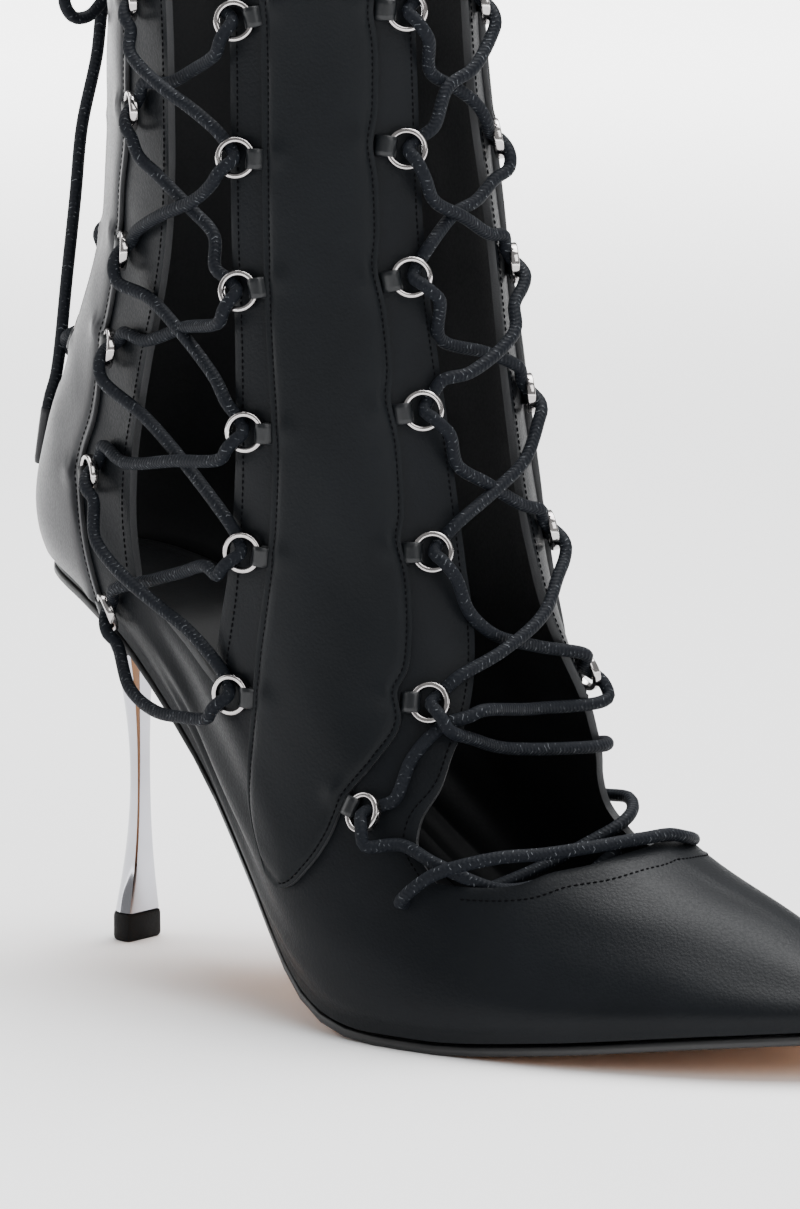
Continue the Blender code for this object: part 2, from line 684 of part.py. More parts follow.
def zigzag(left, right, crosses, start_left):
    # from the last row up to the first, one side and then the other
    places = [left[i] if (len(left) - 1 - i) % 2 == (0 if start_left else 1) else right[i]
              for i in range(len(left))]
    route = []
    for i in range(len(places) - 1, -1, -1):
        if i == len(places) - 1:
            route.append(raised(places[i][0], places[i][1], LACE_LIFT))
        elif i == 0:
            route.append(raised(places[i][0], places[i][1], LACE_LIFT))
        else:
            route += ring_turn(places[i], 0.11)
        if i > 0:
            route += strand_points(places[i], places[i - 1], crosses[i - 1])
    return route


def lacing(name, left, right, closing, lifts, knot_at=None):
    # left and right are rows of places, first row at the collar; lifts moves single crossings
    crosses = []
    for i in range(len(left) - 1):
        corners = [toward(left[i], right[i + 1], STRAND_REACH), toward(right[i + 1], left[i], STRAND_REACH),
                   toward(right[i], left[i + 1], STRAND_REACH), toward(left[i + 1], right[i], STRAND_REACH)]
        crosses.append(sum(corners, Vector()) / 4 + lifts.get(i, Vector()))
    first = zigzag(left, right, crosses, True)
    second = zigzag(left, right, crosses, False)
    first = closing + first
    if knot_at is not None:
        for route in (first, second):
            way = (knot_at - route[-1]).normalized()
            radius = 1 / math.sqrt((way.x / KNOT_RADII[0]) ** 2 + (way.y / KNOT_RADII[1]) ** 2
                                   + (way.z / KNOT_RADII[2]) ** 2)
            route.append(knot_at - way * (radius + PIECE_GAP + 0.0001))
    base = tube(name, first, LACE_DIAMETER, cord_black, boot, 1)
    mate = tube(name + "_second", second, LACE_DIAMETER, cord_black, guides, 1)
    join_solid(base, mate)
    return base


def row_places(name, side, count):
    return [ring_places[name, side, number] for number in range(1, count + 1)]


front_outer = row_places("front", -1, 7) + [(-VAMP_HOLE[0], VAMP_HOLE[1])]
front_inner = row_places("front", 1, 7) + [(VAMP_HOLE[0], VAMP_HOLE[1])]
near_hole = raised(-VAMP_HOLE[0], VAMP_HOLE[1], LACE_LIFT)
far_hole = raised(VAMP_HOLE[0], VAMP_HOLE[1], LACE_LIFT)
bar = [far_hole + Vector((0.002, 0, 0)), raised(0.75, 3.95, LACE_LIFT), raised(0.88, 4.25, LACE_LIFT),
       raised(-0.999, 4.35, LACE_LIFT), raised(-0.88, 4.25, LACE_LIFT), raised(-0.75, 3.95, LACE_LIFT)]
lacing("lace_front", front_outer, front_inner, bar, {6: Vector((LOW_CROSS_FORWARD, 0, LOW_CROSS_UP))})

for side, side_name in ((-1, "outer"), (1, "inner")):
    counter_places = row_places("counter", side, 6)
    panel_places = row_places("panel", side, 6)
    low_counter = counter_places[-1]
    low_panel = panel_places[-1]
    hang = (raised(low_counter[0], low_counter[1], LACE_LIFT)
            + raised(low_panel[0], low_panel[1], LACE_LIFT)) / 2 + Vector((0, side * 0.001, -0.004))
    loop = [raised(low_panel[0], low_panel[1], LACE_LIFT), toward(low_panel, low_counter, 0.008),
            hang, toward(low_counter, low_panel, 0.008)]
    lacing("lace_" + side_name, counter_places, panel_places, loop, {})

back_outer = row_places("back", -1, 4)
back_inner = row_places("back", 1, 4)
knot_place = raised(0.0, 10.25, KNOT_LIFT)
low_bar = [raised(back_inner[-1][0], back_inner[-1][1], LACE_LIFT),
           raised(0.004, BACK_ROWS[-1] - 0.25, LACE_LIFT)]
lacing("lace_back", back_outer, back_inner, low_bar, {}, knot_place)

# Bow at the top of the back lacing: knot, a loop each side and two hanging tails
bpy.ops.mesh.primitive_uv_sphere_add(segments=10, ring_count=6, radius=1.0)
knot = bpy.context.object
knot.name = "lace_bow"
knot.data.transform(Matrix.Diagonal((*KNOT_RADII, 1.0)))
knot.data.transform(Matrix.Translation(knot_place))
knot.data.materials.clear()
knot.data.materials.append(cord_black)
for holder in list(knot.users_collection):
    holder.objects.unlink(knot)
boot.objects.link(knot)


def from_knot(back, across, down):
    return knot_place + Vector((-back, across, -down))


for side in (-1, 1):
    loop_route = [from_knot(0.0, 0.0, -0.0006), from_knot(0.0026, side * 0.0070, -0.0030),
                  from_knot(0.0030, side * 0.0135, 0.0005), from_knot(0.0015, side * 0.0155, 0.0062),
                  from_knot(0.0, side * 0.0128, 0.0040), from_knot(0.0, side * 0.0065, 0.0004),
                  from_knot(0.0, 0.0, 0.0)]
    loop = tube("bow_loop", smooth_route(loop_route, 0.005), LACE_DIAMETER, cord_black, guides)
    join_solid(knot, loop)
    tail_route = [from_knot(0.0, 0.0, 0.0), from_knot(0.0052, side * 0.0030, 0.0045),
                  from_knot(0.0075, side * 0.0070, 0.028), from_knot(0.0115, side * 0.0100, 0.062),
                  from_knot(0.0162, side * 0.0135, 0.094), from_knot(0.0182, side * 0.0150, BOW_TAIL_DROP)]
    tail = tube("bow_tail", smooth_route(tail_route, 0.0075), LACE_DIAMETER, cord_black, guides)
    join_solid(knot, tail)

# Origin on the floor under the middle of the top lift
for item in list(boot.objects) + list(guides.objects):
    item.matrix_world = Matrix.Translation((-ORIGIN_X, 0, 0)) @ item.matrix_world

for item in boot.objects:
    if item.name.startswith(("lace", "eyelet", "heel")):
        item.data.shade_smooth()
        item.data.set_sharp_from_angle(angle=math.radians(50))
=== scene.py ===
# Lace up ankle boot: leather, lacing, eyelet rings, heel, camera and light
import math
import bmesh
import bpy
import numpy as np
from mathutils import Matrix, Vector


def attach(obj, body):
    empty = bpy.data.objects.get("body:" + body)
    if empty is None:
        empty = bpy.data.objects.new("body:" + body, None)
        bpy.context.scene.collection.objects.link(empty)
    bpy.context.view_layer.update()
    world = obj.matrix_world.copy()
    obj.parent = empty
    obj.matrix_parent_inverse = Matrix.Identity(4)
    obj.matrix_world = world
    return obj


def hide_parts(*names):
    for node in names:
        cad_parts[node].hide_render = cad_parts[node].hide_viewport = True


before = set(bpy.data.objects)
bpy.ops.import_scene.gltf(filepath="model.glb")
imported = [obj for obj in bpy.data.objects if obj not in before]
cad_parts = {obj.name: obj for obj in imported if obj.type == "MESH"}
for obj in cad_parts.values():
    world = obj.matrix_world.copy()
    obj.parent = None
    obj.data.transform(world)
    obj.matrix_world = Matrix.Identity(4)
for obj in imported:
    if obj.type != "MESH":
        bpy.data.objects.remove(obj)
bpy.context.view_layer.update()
print("frame loaded:", len(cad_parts), "nodes")


def addObject(name, data):
    made = bpy.data.objects.new(name, data)
    bpy.context.scene.collection.objects.link(made)
    return made


# Camera: the photograph's angle
cameraSet = dict(azimuth=41.0, elevation=9.8, distance=1.380, target=(0.0830, 0.0, 0.0885), lens=183.68)


def cameraAxes():
    a, e = math.radians(cameraSet["azimuth"]), math.radians(cameraSet["elevation"])
    back = np.array((math.sin(a) * math.cos(e), -math.cos(a) * math.cos(e), math.sin(e)))
    right = np.array((math.cos(a), math.sin(a), 0.0))
    return right, np.cross(back, right), back


viewRight, viewUp, viewBack = cameraAxes()
cameraData = bpy.data.cameras.new("camera")
cameraData.lens = cameraSet["lens"]
cameraData.sensor_width = 36.0
cameraData.clip_start = 0.05
cameraData.clip_end = 30.0
camera = addObject("camera", cameraData)
camera.matrix_world = Matrix(((*viewRight,), (*viewUp,), (*viewBack,))).transposed().to_4x4()
camera.location = Vector(cameraSet["target"]) + Vector(viewBack) * cameraSet["distance"]
bpy.context.scene.camera = camera

# Form of the foot and leg, the same sizes as the solids
form = dict(length=0.239, ballHalfWidth=0.0435, heelHeight=0.089, toeSpring=0.0092, backRise=0.1511,
            frontRise=0.2299, toeSwing=0.008, soleThickness=0.0030, originX=0.0215, top=11.0, lasted=0.35)
soleAlong = (0, .063, .126, .188, .238, .285, .326, .368, .410, .452, .502, .544, .628, .736, .879, 1)
soleHeel = (1, .975, .927, .826, .680, .522, .371, .247, .146, .070, .018, 0, 0, 0, 0, 0)
soleSpring = (0, 0, 0, 0, 0, 0, 0, 0, 0, 0, 0, 0, 0, .28, .74, 1)
sectionBack = (.021, .013, .016, .031, .054, .079, .100, .113, .117, .117, .115, .111)
sectionBackRise = (0, .056, .129, .218, .316, .417, .518, .617, .719, .818, .910, 1)
sectionFront = (1, .998, .954, .870, .762, .661, .598, .561, .536, .515, .498, .487)
sectionFrontRise = (0, .019, .044, .089, .146, .228, .331, .448, .586, .726, .862, 1)
sectionTilt = (0, 0, .02, .08, .20, .42, .66, .84, .94, 1, 1, 1)
sectionWidths = np.array((
    (0, .36, .56, .55, .93, .89, .61, .26, 0), (0, .41, .64, .66, 1.00, .94, .64, .29, 0),
    (0, .43, .66, .72, 1.00, .94, .64, .30, 0), (0, .41, .63, .76, .93, .89, .62, .31, 0),
    (0, .39, .61, .77, .86, .83, .61, .31, 0), (0, .38, .60, .77, .84, .79, .60, .32, 0),
    (0, .36, .59, .76, .83, .78, .60, .33, 0), (0, .34, .57, .74, .82, .78, .61, .33, 0),
    (0, .33, .56, .72, .80, .76, .59, .32, 0), (0, .32, .54, .70, .78, .72, .55, .31, 0),
    (0, .30, .51, .67, .74, .68, .51, .28, 0), (0, .30, .49, .66, .72, .67, .49, .28, 0)))
levelKnots = np.arange(12.0)
roundKnots = np.linspace(0, 1, 9)

# Pattern edges: share round the side against height (0 sole, 1 foot of the gap, 2 collar) or level
gapFootTable = ((0, .03, .17, .305, .345, .406, .43, .52, .65, .725, .78, .84, .914, 1),
                (3.4, 3.4, 2.9, 2.35, 2.76, 3.46, 3.65, 3.62, 3.48, 3.6, 3.85, 4.0, 4.17, 4.26))
backGapEdge = ((0, 2), (.03, .03))
counterEdge = ((0, 1, 1.1, 1.2, 1.4, 1.6, 1.8, 2), (.31, .31, .307, .315, .356, .414, .43, .43))
panelEdge = ((0, .5, 1, 1.2, 1.4, 1.7, 2), (.36, .385, .43, .491, .536, .558, .57))
throatEdge = ((0, 1, 1.05, 1.1, 1.2, 1.3, 1.4, 1.7, 2), (.64, .652, .655, .682, .81, .887, .907, .902, .92))
uprightStart = .104
uprightBack = ((0, 11), (uprightStart, uprightStart))
uprightFront = ((0, 1.33, 2.02, 2.99, 4.02, 5.2, 6.02, 7.53, 8.43, 9.35, 11),
                (.25, .249, .243, .227, .243, .245, .256, .27, .30, .307, .31))
strapBack = ((2.35, 2.78, 3.43, 3.91, 4.62, 5.64, 6.31, 6.8, 8.13, 10.07, 11),
             (.468, .456, .469, .485, .516, .564, .591, .605, .613, .625, .63))
strapFront = ((2.35, 2.52, 3.05, 3.62, 4.22, 4.73, 5.14, 5.53, 6.06, 7.24, 9.14, 11),
              (.478, .491, .524, .562, .607, .666, .714, .744, .779, .812, .815, .84))
frontRows = (10.58, 9.63, 8.75, 7.85, 6.84, 5.49, 4.11)
panelRows = (10.35, 9.17, 8.07, 6.91, 5.72, 4.06)
counterRows = (10.21, 8.92, 7.08, 5.47, 3.14, 0.9)
backRows = (9.65, 7.93, 6.2, 4.36)
vampHole = (0.609, 3.1)


def curveThrough(knots, values, at):
    # cubic through the knots with three-point slopes, one row of values for each place if 2-D
    knots, values = np.asarray(knots, float), np.asarray(values, float)
    at = np.clip(np.asarray(at, float), knots[0], knots[-1])
    gaps = np.diff(knots)
    steps = np.diff(values, axis=-1) / gaps
    slopes = np.empty(values.shape)
    slopes[..., 0], slopes[..., -1] = steps[..., 0], steps[..., -1]
    slopes[..., 1:-1] = (gaps[:-1] * steps[..., 1:] + gaps[1:] * steps[..., :-1]) / (gaps[:-1] + gaps[1:])
    i = np.clip(np.searchsorted(knots, at) - 1, 0, len(knots) - 2)

    def pick(table, index):
        return table[index] if table.ndim == 1 else np.take_along_axis(table, index[:, None], 1)[:, 0]

    span = gaps[i]
    u = (at - knots[i]) / span
    result = (2 * u**3 - 3 * u**2 + 1) * pick(values, i) + (u**3 - 2 * u**2 + u) * span * pick(slopes, i)
    return result + (3 * u**2 - 2 * u**3) * pick(values, i + 1) + (u**3 - u**2) * span * pick(slopes, i + 1)


def edgeAt(table, at):
    return curveThrough(table[0], table[1], at)


def soleZ(x):
    along = x / form["length"]
    return (np.maximum(0, curveThrough(soleAlong, soleHeel, along)) * form["heelHeight"]
            + np.maximum(0, curveThrough(soleAlong, soleSpring, along)) * form["toeSpring"])


def ease(low, high, at):
    u = np.clip((at - low) / (high - low), 0, 1)
    return u * u * (3 - 2 * u)


def surface(around, level):
    # outer face of the upper: around is 0 at the back line, -1 by the outer side or +1 by the
    # inner side at the front line; level is 0 at the sole and 11 at the collar
    around, level = np.broadcast_arrays(np.asarray(around, float), np.asarray(level, float))
    shape = around.shape
    around, level = around.ravel(), level.ravel()
    share = np.minimum(np.abs(around), 1)
    turn = (1 - np.cos(np.pi * share)) / 2
    plan = np.maximum(level, form["lasted"])
    back = curveThrough(levelKnots, sectionBack, plan) * form["length"]
    front = curveThrough(levelKnots, sectionFront, plan) * form["length"]
    x = back + (front - back) * turn
    backRise = np.maximum(0, curveThrough(levelKnots, sectionBackRise, level)) * form["backRise"]
    frontRise = np.maximum(0, curveThrough(levelKnots, sectionFrontRise, level)) * form["frontRise"]
    seat = form["soleThickness"]
    low = soleZ(x) + seat + backRise + (frontRise - backRise) * turn
    line = (soleZ(back) + seat + backRise) * (1 - turn) + (soleZ(front) + seat + frontRise) * turn
    tilt = np.clip(curveThrough(levelKnots, sectionTilt, level), 0, 1)
    z = (1 - tilt) * low + tilt * line
    rows = np.stack([curveThrough(levelKnots, sectionWidths[:, k], plan) for k in range(9)], 1)
    width = np.maximum(0, curveThrough(roundKnots, rows, share)) * form["ballHalfWidth"]
    height = level / form["top"]
    bend = (x / form["length"] - 0.565) / 0.167
    narrowed = 1 - 0.12 * np.exp(-bend * bend) * (1 - height)
    narrowed = narrowed * (1 + 0.18 * ease(0.6, 0.85, share) * ease(0.3, 0.5, height))
    inner = around > 0
    width = np.where(inner, width * narrowed, -width)
    swing = form["toeSwing"] * np.clip((x / form["length"] - 0.418) / 0.586, 0, 1) ** 1.5
    waist = (x / form["length"] - 0.536) / 0.126
    swing = swing - 0.046 * form["ballHalfWidth"] * np.exp(-waist * waist) * (1 - height)
    return np.stack((x - form["originX"], swing + width, z), -1).reshape(shape + (3,))


def outward(around, level):
    around, level = np.broadcast_arrays(np.asarray(around, float), np.asarray(level, float))
    share = np.clip(np.abs(around), 0.004, 0.996)
    side = np.where(around > 0, 1.0, -1.0)
    along = surface(side * (share + 0.003), level) - surface(side * (share - 0.003), level)
    upper = np.minimum(level + 0.05, form["top"])
    up = surface(side * share, upper) - surface(side * share, upper - 0.1)
    normal = np.cross(along, up) * -side[..., None]
    return normal / np.linalg.norm(normal, axis=-1, keepdims=True)


# Soft hand-worked relief: slow waves, and the gathers of the quarter over the waist
reliefSet = dict(wave=0.00016, gather=0.00075, gathers=4.2)


def relief(around, level):
    around, level = np.broadcast_arrays(np.asarray(around, float), np.asarray(level, float))
    share = np.abs(around)
    waves = np.sin(21 * around + 1.1 * level) * np.sin(2.1 * level - 9 * around + 0.6)
    waves = waves + 0.6 * np.sin(37 * around - 2.9 * level + 1.0) * np.sin(1.3 * level + 2)
    foot = curveThrough(gapFootTable[0], gapFootTable[1], share.ravel()).reshape(share.shape)
    band = (level - form["lasted"]) / (foot - form["lasted"])
    fold = np.sin(2 * np.pi * (reliefSet["gathers"] * band * (1 - 0.25 * band) + 0.15))
    fade = ease(0.31, 0.37, share) * (1 - ease(0.41, 0.50, share)) * (1 - ease(0.96, 1.05, band))
    fade = fade * ease(0.02, 0.15, band)
    calm = ease(0.2, 0.8, level)
    return reliefSet["wave"] * waves * calm + reliefSet["gather"] * (fold - 0.4) * fade


def raised(around, level, lift=0.0, worked=True):
    lift = np.asarray(lift, float) + (relief(around, level) if worked else 0.0)
    return surface(around, level) + outward(around, level) * lift[..., None]


def unit(vector):
    return vector / np.linalg.norm(vector)


def gridFaces(rows, columns, keep=None, closed=False):
    faces = []
    for r in range(rows - 1):
        for c in range(columns if closed else columns - 1):
            if keep is None or keep(r, c):
                d = (c + 1) % columns
                faces.append((r * columns + c, r * columns + d, (r + 1) * columns + d, (r + 1) * columns + c))
    return faces


def addPiece(name, points, faces, finishes, smooth=True):
    # a mesh piece with loose points dropped
    points = np.asarray(points, float).reshape(-1, 3)
    used = sorted({i for face in faces for i in face})
    place = {old: new for new, old in enumerate(used)}
    mesh = bpy.data.meshes.new(name)
    mesh.from_pydata([tuple(points[i]) for i in used], [], [tuple(place[i] for i in f) for f in faces])
    mesh.validate()
    for finish in finishes:
        mesh.materials.append(finish)
    if smooth:
        mesh.shade_smooth()
    return addObject(name, mesh)


def faceOutward(piece, direction):
    # an open sheet's first face shows which way it was wound
    polygon = piece.data.polygons[0]
    if polygon.normal.dot(Vector(direction)) < 0:
        piece.data.flip_normals()


def settle(piece, slot, *nodes):
    # every piece rides on the one body
    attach(piece, "root")
    if nodes:
        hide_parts(*nodes)


def wall(piece, thickness, inner=0, rim=0, bevel=0.0):
    solid = piece.modifiers.new("wall", "SOLIDIFY")
    solid.thickness = thickness
    solid.offset = -1.0
    solid.use_rim = True
    solid.use_even_offset = True
    solid.material_offset = inner
    solid.material_offset_rim = rim
    if bevel:
        soften = piece.modifiers.new("soft edge", "BEVEL")
        soften.width = bevel
        soften.segments = 2
        soften.limit_method = "ANGLE"
        soften.angle_limit = math.radians(55)


# Shader groups shared by the finishes
def newGroup(name, inputs, outputs):
    group = bpy.data.node_groups.new(name, "ShaderNodeTree")
    for label, kind, value in inputs:
        socket = group.interface.new_socket(label, in_out="INPUT", socket_type=kind)
        if value is not None:
            socket.default_value = value
    for label, kind in outputs:
        group.interface.new_socket(label, in_out="OUTPUT", socket_type=kind)
    return group, group.nodes.new("NodeGroupInput"), group.nodes.new("NodeGroupOutput")


def node(tree, kind, inputs=None, **settings):
    made = tree.nodes.new(kind)
    for key, value in settings.items():
        setattr(made, key, value)
    for key, value in (inputs or {}).items():
        socket = made.inputs[key]
        if isinstance(value, bpy.types.NodeSocket):
            tree.links.new(value, socket)
        else:
            socket.default_value = value
    return made


def mathNode(tree, operation, a, b=0.0, clamp=False):
    made = tree.nodes.new("ShaderNodeMath")
    made.operation = operation
    made.use_clamp = clamp
    for socket, value in zip(made.inputs, (a, b)):
        if isinstance(value, bpy.types.NodeSocket):
            tree.links.new(value, socket)
        else:
            socket.default_value = value
    return made.outputs[0]


floatKind, vectorKind = "NodeSocketFloat", "NodeSocketVector"


def makeGrainGroup():
    group, start, end = newGroup(
        "leatherGrain",
        (("Vector", vectorKind, None), ("Grain per metre", floatKind, 1400.0), ("Depth", floatKind, 0.25),
         ("Wear per metre", floatKind, 45.0)),
        (("Normal", vectorKind), ("Pebble", floatKind), ("Wear", floatKind)))
    cells = node(group, "ShaderNodeTexVoronoi", {"Vector": start.outputs["Vector"],
                                                 "Scale": start.outputs["Grain per metre"]}, feature="F1")
    finer = mathNode(group, "MULTIPLY", start.outputs["Grain per metre"], 1.7)
    fine = node(group, "ShaderNodeTexNoise", {"Vector": start.outputs["Vector"], "Detail": 3.0, "Scale": finer})
    broad = node(group, "ShaderNodeTexNoise", {"Vector": start.outputs["Vector"], "Detail": 4.0,
                                               "Scale": start.outputs["Wear per metre"]})
    height = mathNode(group, "ADD", mathNode(group, "MULTIPLY", cells.outputs["Distance"], -0.6),
                      mathNode(group, "MULTIPLY", fine.outputs["Fac"], 0.6))
    bump = node(group, "ShaderNodeBump", {"Height": height, "Strength": start.outputs["Depth"],
                                          "Distance": 0.0003})
    group.links.new(bump.outputs["Normal"], end.inputs["Normal"])
    group.links.new(cells.outputs["Distance"], end.inputs["Pebble"])
    group.links.new(broad.outputs["Fac"], end.inputs["Wear"])
    return group


grainGroup = makeGrainGroup()


def startFinish(name):
    finish = bpy.data.materials.new(name)
    finish.use_nodes = True
    tree = finish.node_tree
    return finish, tree, tree.nodes["Principled BSDF"]


def ramp(tree, value, stops):
    made = tree.nodes.new("ShaderNodeValToRGB")
    tree.links.new(value, made.inputs["Fac"])
    while len(made.color_ramp.elements) < len(stops):
        made.color_ramp.elements.new(0.5)
    for element, (at, colour) in zip(made.color_ramp.elements, stops):
        element.position = at
        element.color = (*colour, 1.0)
    return made.outputs["Color"]


def leatherFinish(name, dark, light, rough, roughSpread, grain=1400.0, depth=0.25, coat=0.0, coatRough=0.3,
                  specular=0.4):
    finish, tree, shader = startFinish(name)
    place = node(tree, "ShaderNodeTexCoord").outputs["Object"]
    group = node(tree, "ShaderNodeGroup", node_tree=grainGroup)
    tree.links.new(place, group.inputs["Vector"])
    group.inputs["Grain per metre"].default_value = grain
    group.inputs["Depth"].default_value = depth
    tree.links.new(ramp(tree, group.outputs["Wear"], ((0.3, dark), (0.75, light))), shader.inputs["Base Color"])
    spread = mathNode(tree, "MULTIPLY", group.outputs["Wear"], roughSpread)
    spread = mathNode(tree, "ADD", spread, rough - roughSpread / 2)
    pebble = mathNode(tree, "MULTIPLY", group.outputs["Pebble"], 0.12)
    tree.links.new(mathNode(tree, "ADD", spread, pebble, True), shader.inputs["Roughness"])
    tree.links.new(group.outputs["Normal"], shader.inputs["Normal"])
    shader.inputs["Specular IOR Level"].default_value = specular
    shader.inputs["Coat Weight"].default_value = coat
    shader.inputs["Coat Roughness"].default_value = coatRough
    return finish


def metalFinish(name, low, high, rough, grain):
    finish, tree, shader = startFinish(name)
    place = node(tree, "ShaderNodeTexCoord").outputs["Object"]
    noise = node(tree, "ShaderNodeTexNoise", {"Vector": place, "Scale": grain, "Detail": 3.0})
    tree.links.new(ramp(tree, noise.outputs["Fac"], ((0.3, low), (0.7, high))), shader.inputs["Base Color"])
    spread = mathNode(tree, "ADD", mathNode(tree, "MULTIPLY", noise.outputs["Fac"], rough), rough / 2)
    tree.links.new(spread, shader.inputs["Roughness"])
    shader.inputs["Metallic"].default_value = 1.0
    return finish


def cordFinish(name):
    # wax braid read from the cord's own map: turns round, then metres along; light specks painted into its colour as
    # highlights
    finish, tree, shader = startFinish(name)
    lay = node(tree, "ShaderNodeUVMap", uv_map="cordMap").outputs["UV"]
    split = node(tree, "ShaderNodeSeparateXYZ", {"Vector": lay})
    zigzag = mathNode(tree, "PINGPONG", mathNode(tree, "MULTIPLY", split.outputs["X"], 4.0), 0.5)
    along = mathNode(tree, "ADD", mathNode(tree, "DIVIDE", split.outputs["Y"], 0.00105), zigzag)
    weave = mathNode(tree, "SINE", mathNode(tree, "MULTIPLY", along, 2 * math.pi))
    seam = mathNode(tree, "SINE", mathNode(tree, "MULTIPLY", zigzag, 2 * math.pi))
    place = node(tree, "ShaderNodeTexCoord").outputs["Object"]
    fibre = node(tree, "ShaderNodeTexNoise", {"Vector": place, "Scale": 2600.0, "Detail": 3.0})
    wax = node(tree, "ShaderNodeTexNoise", {"Vector": place, "Scale": 900.0, "Detail": 2.0})
    height = mathNode(tree, "ADD", mathNode(tree, "MULTIPLY", weave, 0.5), mathNode(tree, "MULTIPLY", seam, 0.35))
    height = mathNode(tree, "ADD", height, mathNode(tree, "MULTIPLY", fibre.outputs["Fac"], 0.5))
    bump = node(tree, "ShaderNodeBump", {"Height": height, "Strength": 0.42, "Distance": 0.00018})
    # painted highlight: light specks where the braid's peaks meet the wax noise lighten the base colour; the
    # roughness there is also lower
    paintedGlint = mathNode(tree, "MULTIPLY", ramp(tree, weave, ((0.80, (0, 0, 0)), (0.97, (1, 1, 1)))),
                     ramp(tree, wax.outputs["Fac"], ((0.56, (0, 0, 0)), (0.66, (1, 1, 1)))))
    tree.links.new(ramp(tree, paintedGlint, ((0.0, (0.0042, 0.0055, 0.0082)), (1.0, (0.10, 0.108, 0.118)))),
                   shader.inputs["Base Color"])
    tree.links.new(mathNode(tree, "SUBTRACT", 0.68, mathNode(tree, "MULTIPLY", paintedGlint, 0.25)),
                   shader.inputs["Roughness"])
    tree.links.new(bump.outputs["Normal"], shader.inputs["Normal"])
    shader.inputs["Specular IOR Level"].default_value = 0.12
    return finish


upperLeather = leatherFinish("upperLeather", (0.0034, 0.0042, 0.0054), (0.005, 0.006, 0.0075), 0.40, 0.10,
                             depth=0.22, specular=0.11)
overlayLeather = leatherFinish("overlayLeather", (0.0038, 0.0047, 0.0058), (0.0055, 0.0066, 0.0080), 0.41, 0.08,
                               depth=0.22, specular=0.11)
tabLeather = leatherFinish("tabLeather", (0.004, 0.005, 0.006), (0.006, 0.007, 0.0085), 0.30, 0.08, depth=0.12,
                           specular=0.35)
counterLeather = leatherFinish("counterLeather", (0.007, 0.0075, 0.0095), (0.010, 0.0105, 0.013), 0.34, 0.08,
                               depth=0.12, coat=0.22, coatRough=0.25, specular=0.25)
liningLeather = leatherFinish("liningLeather", (0.0035, 0.004, 0.005), (0.006, 0.0065, 0.0075), 0.62, 0.10,
                              depth=0.1, specular=0.25)
cutEdge = leatherFinish("cutEdge", (0.02, 0.021, 0.023), (0.035, 0.036, 0.038), 0.5, 0.1, grain=2500.0)
insoleLeather = leatherFinish("insoleLeather", (0.0055, 0.006, 0.007), (0.0085, 0.009, 0.010), 0.30, 0.10,
                              depth=0.10, coat=0.4, coatRough=0.2)
soleEdge = leatherFinish("soleEdge", (0.006, 0.006, 0.0065), (0.010, 0.010, 0.0105), 0.36, 0.1, depth=0.08)
soleTan = leatherFinish("soleTan", (0.36, 0.17, 0.07), (0.50, 0.26, 0.12), 0.42, 0.15, grain=900.0, depth=0.15)
liftRubber = leatherFinish("liftRubber", (0.004, 0.004, 0.004), (0.007, 0.007, 0.007), 0.60, 0.15, grain=2200.0,
                           specular=0.15)
coverLeather = leatherFinish("coverLeather", (0.008, 0.0085, 0.010), (0.012, 0.0125, 0.014), 0.36, 0.08, depth=0.12,
                             coat=0.2)
threadBlack = leatherFinish("threadBlack", (0.0015, 0.0015, 0.002), (0.003, 0.003, 0.004), 0.7, 0.1, grain=4000.0,
                            specular=0.05)
heelChrome = metalFinish("heelChrome", (0.36, 0.36, 0.39), (0.52, 0.52, 0.56), 0.05, 35.0)
ringSteel = metalFinish("ringSteel", (0.38, 0.36, 0.36), (0.50, 0.48, 0.47), 0.12, 260.0)
laceCord = cordFinish("laceCord")
agletBlack = leatherFinish("agletBlack", (0.006, 0.006, 0.008), (0.012, 0.012, 0.015), 0.38, 0.1, grain=3000.0,
                           specular=0.3)
print("finishes made")

# Eyelet rings: where each sits, off the overlay edge that holds it
ringSet = dict(outerRadius=0.00495, band=0.00195, thickness=0.0012, reach=0.0056, tilt=17.0, seat=0.0009,
               tabWidth=0.0046)


def ringFrame(edge, level, forward, side):
    # centre under the ring, toward the edge, up, outward
    def nearest(point):
        levels = np.clip(level + 0.08 * np.arange(-16, 17), 0, form["top"])
        spots = surface(side * np.interp(levels, edge[0], edge[1]), levels)
        return spots[np.argmin(np.linalg.norm(spots - point, axis=1))]

    start = float(np.interp(level, edge[0], edge[1]))
    rate = np.linalg.norm(surface(side * (start + 0.03), level) - surface(side * start, level)) / 0.03
    share = start
    for _ in range(6):
        point = surface(side * share, level)
        share += (ringSet["reach"] - np.linalg.norm(point - nearest(point))) / rate * (1 if forward else -1)
    point = surface(side * share, level)
    normal = outward(side * share, level)
    toEdge = nearest(point) - point
    toEdge = unit(toEdge - normal * toEdge.dot(normal))
    up = np.cross(normal, toEdge)
    up = up if up[2] > 0 else -up
    return dict(centre=point, toEdge=toEdge, up=up, out=normal, around=side * share, level=level)


rings = {}
for group, edge, levels, forward in (("front", strapFront, frontRows, True), ("panel", strapBack, panelRows, False),
                                     ("counter", uprightFront, counterRows, True),
                                     ("back", uprightBack, backRows, False)):
    for side in (-1, 1):
        rings[group, side] = [ringFrame(edge, level, forward, side) for level in levels]
print("ring places found")

# Laces
laceSet = dict(diameter=0.0029, sides=12, spacing=0.0011)


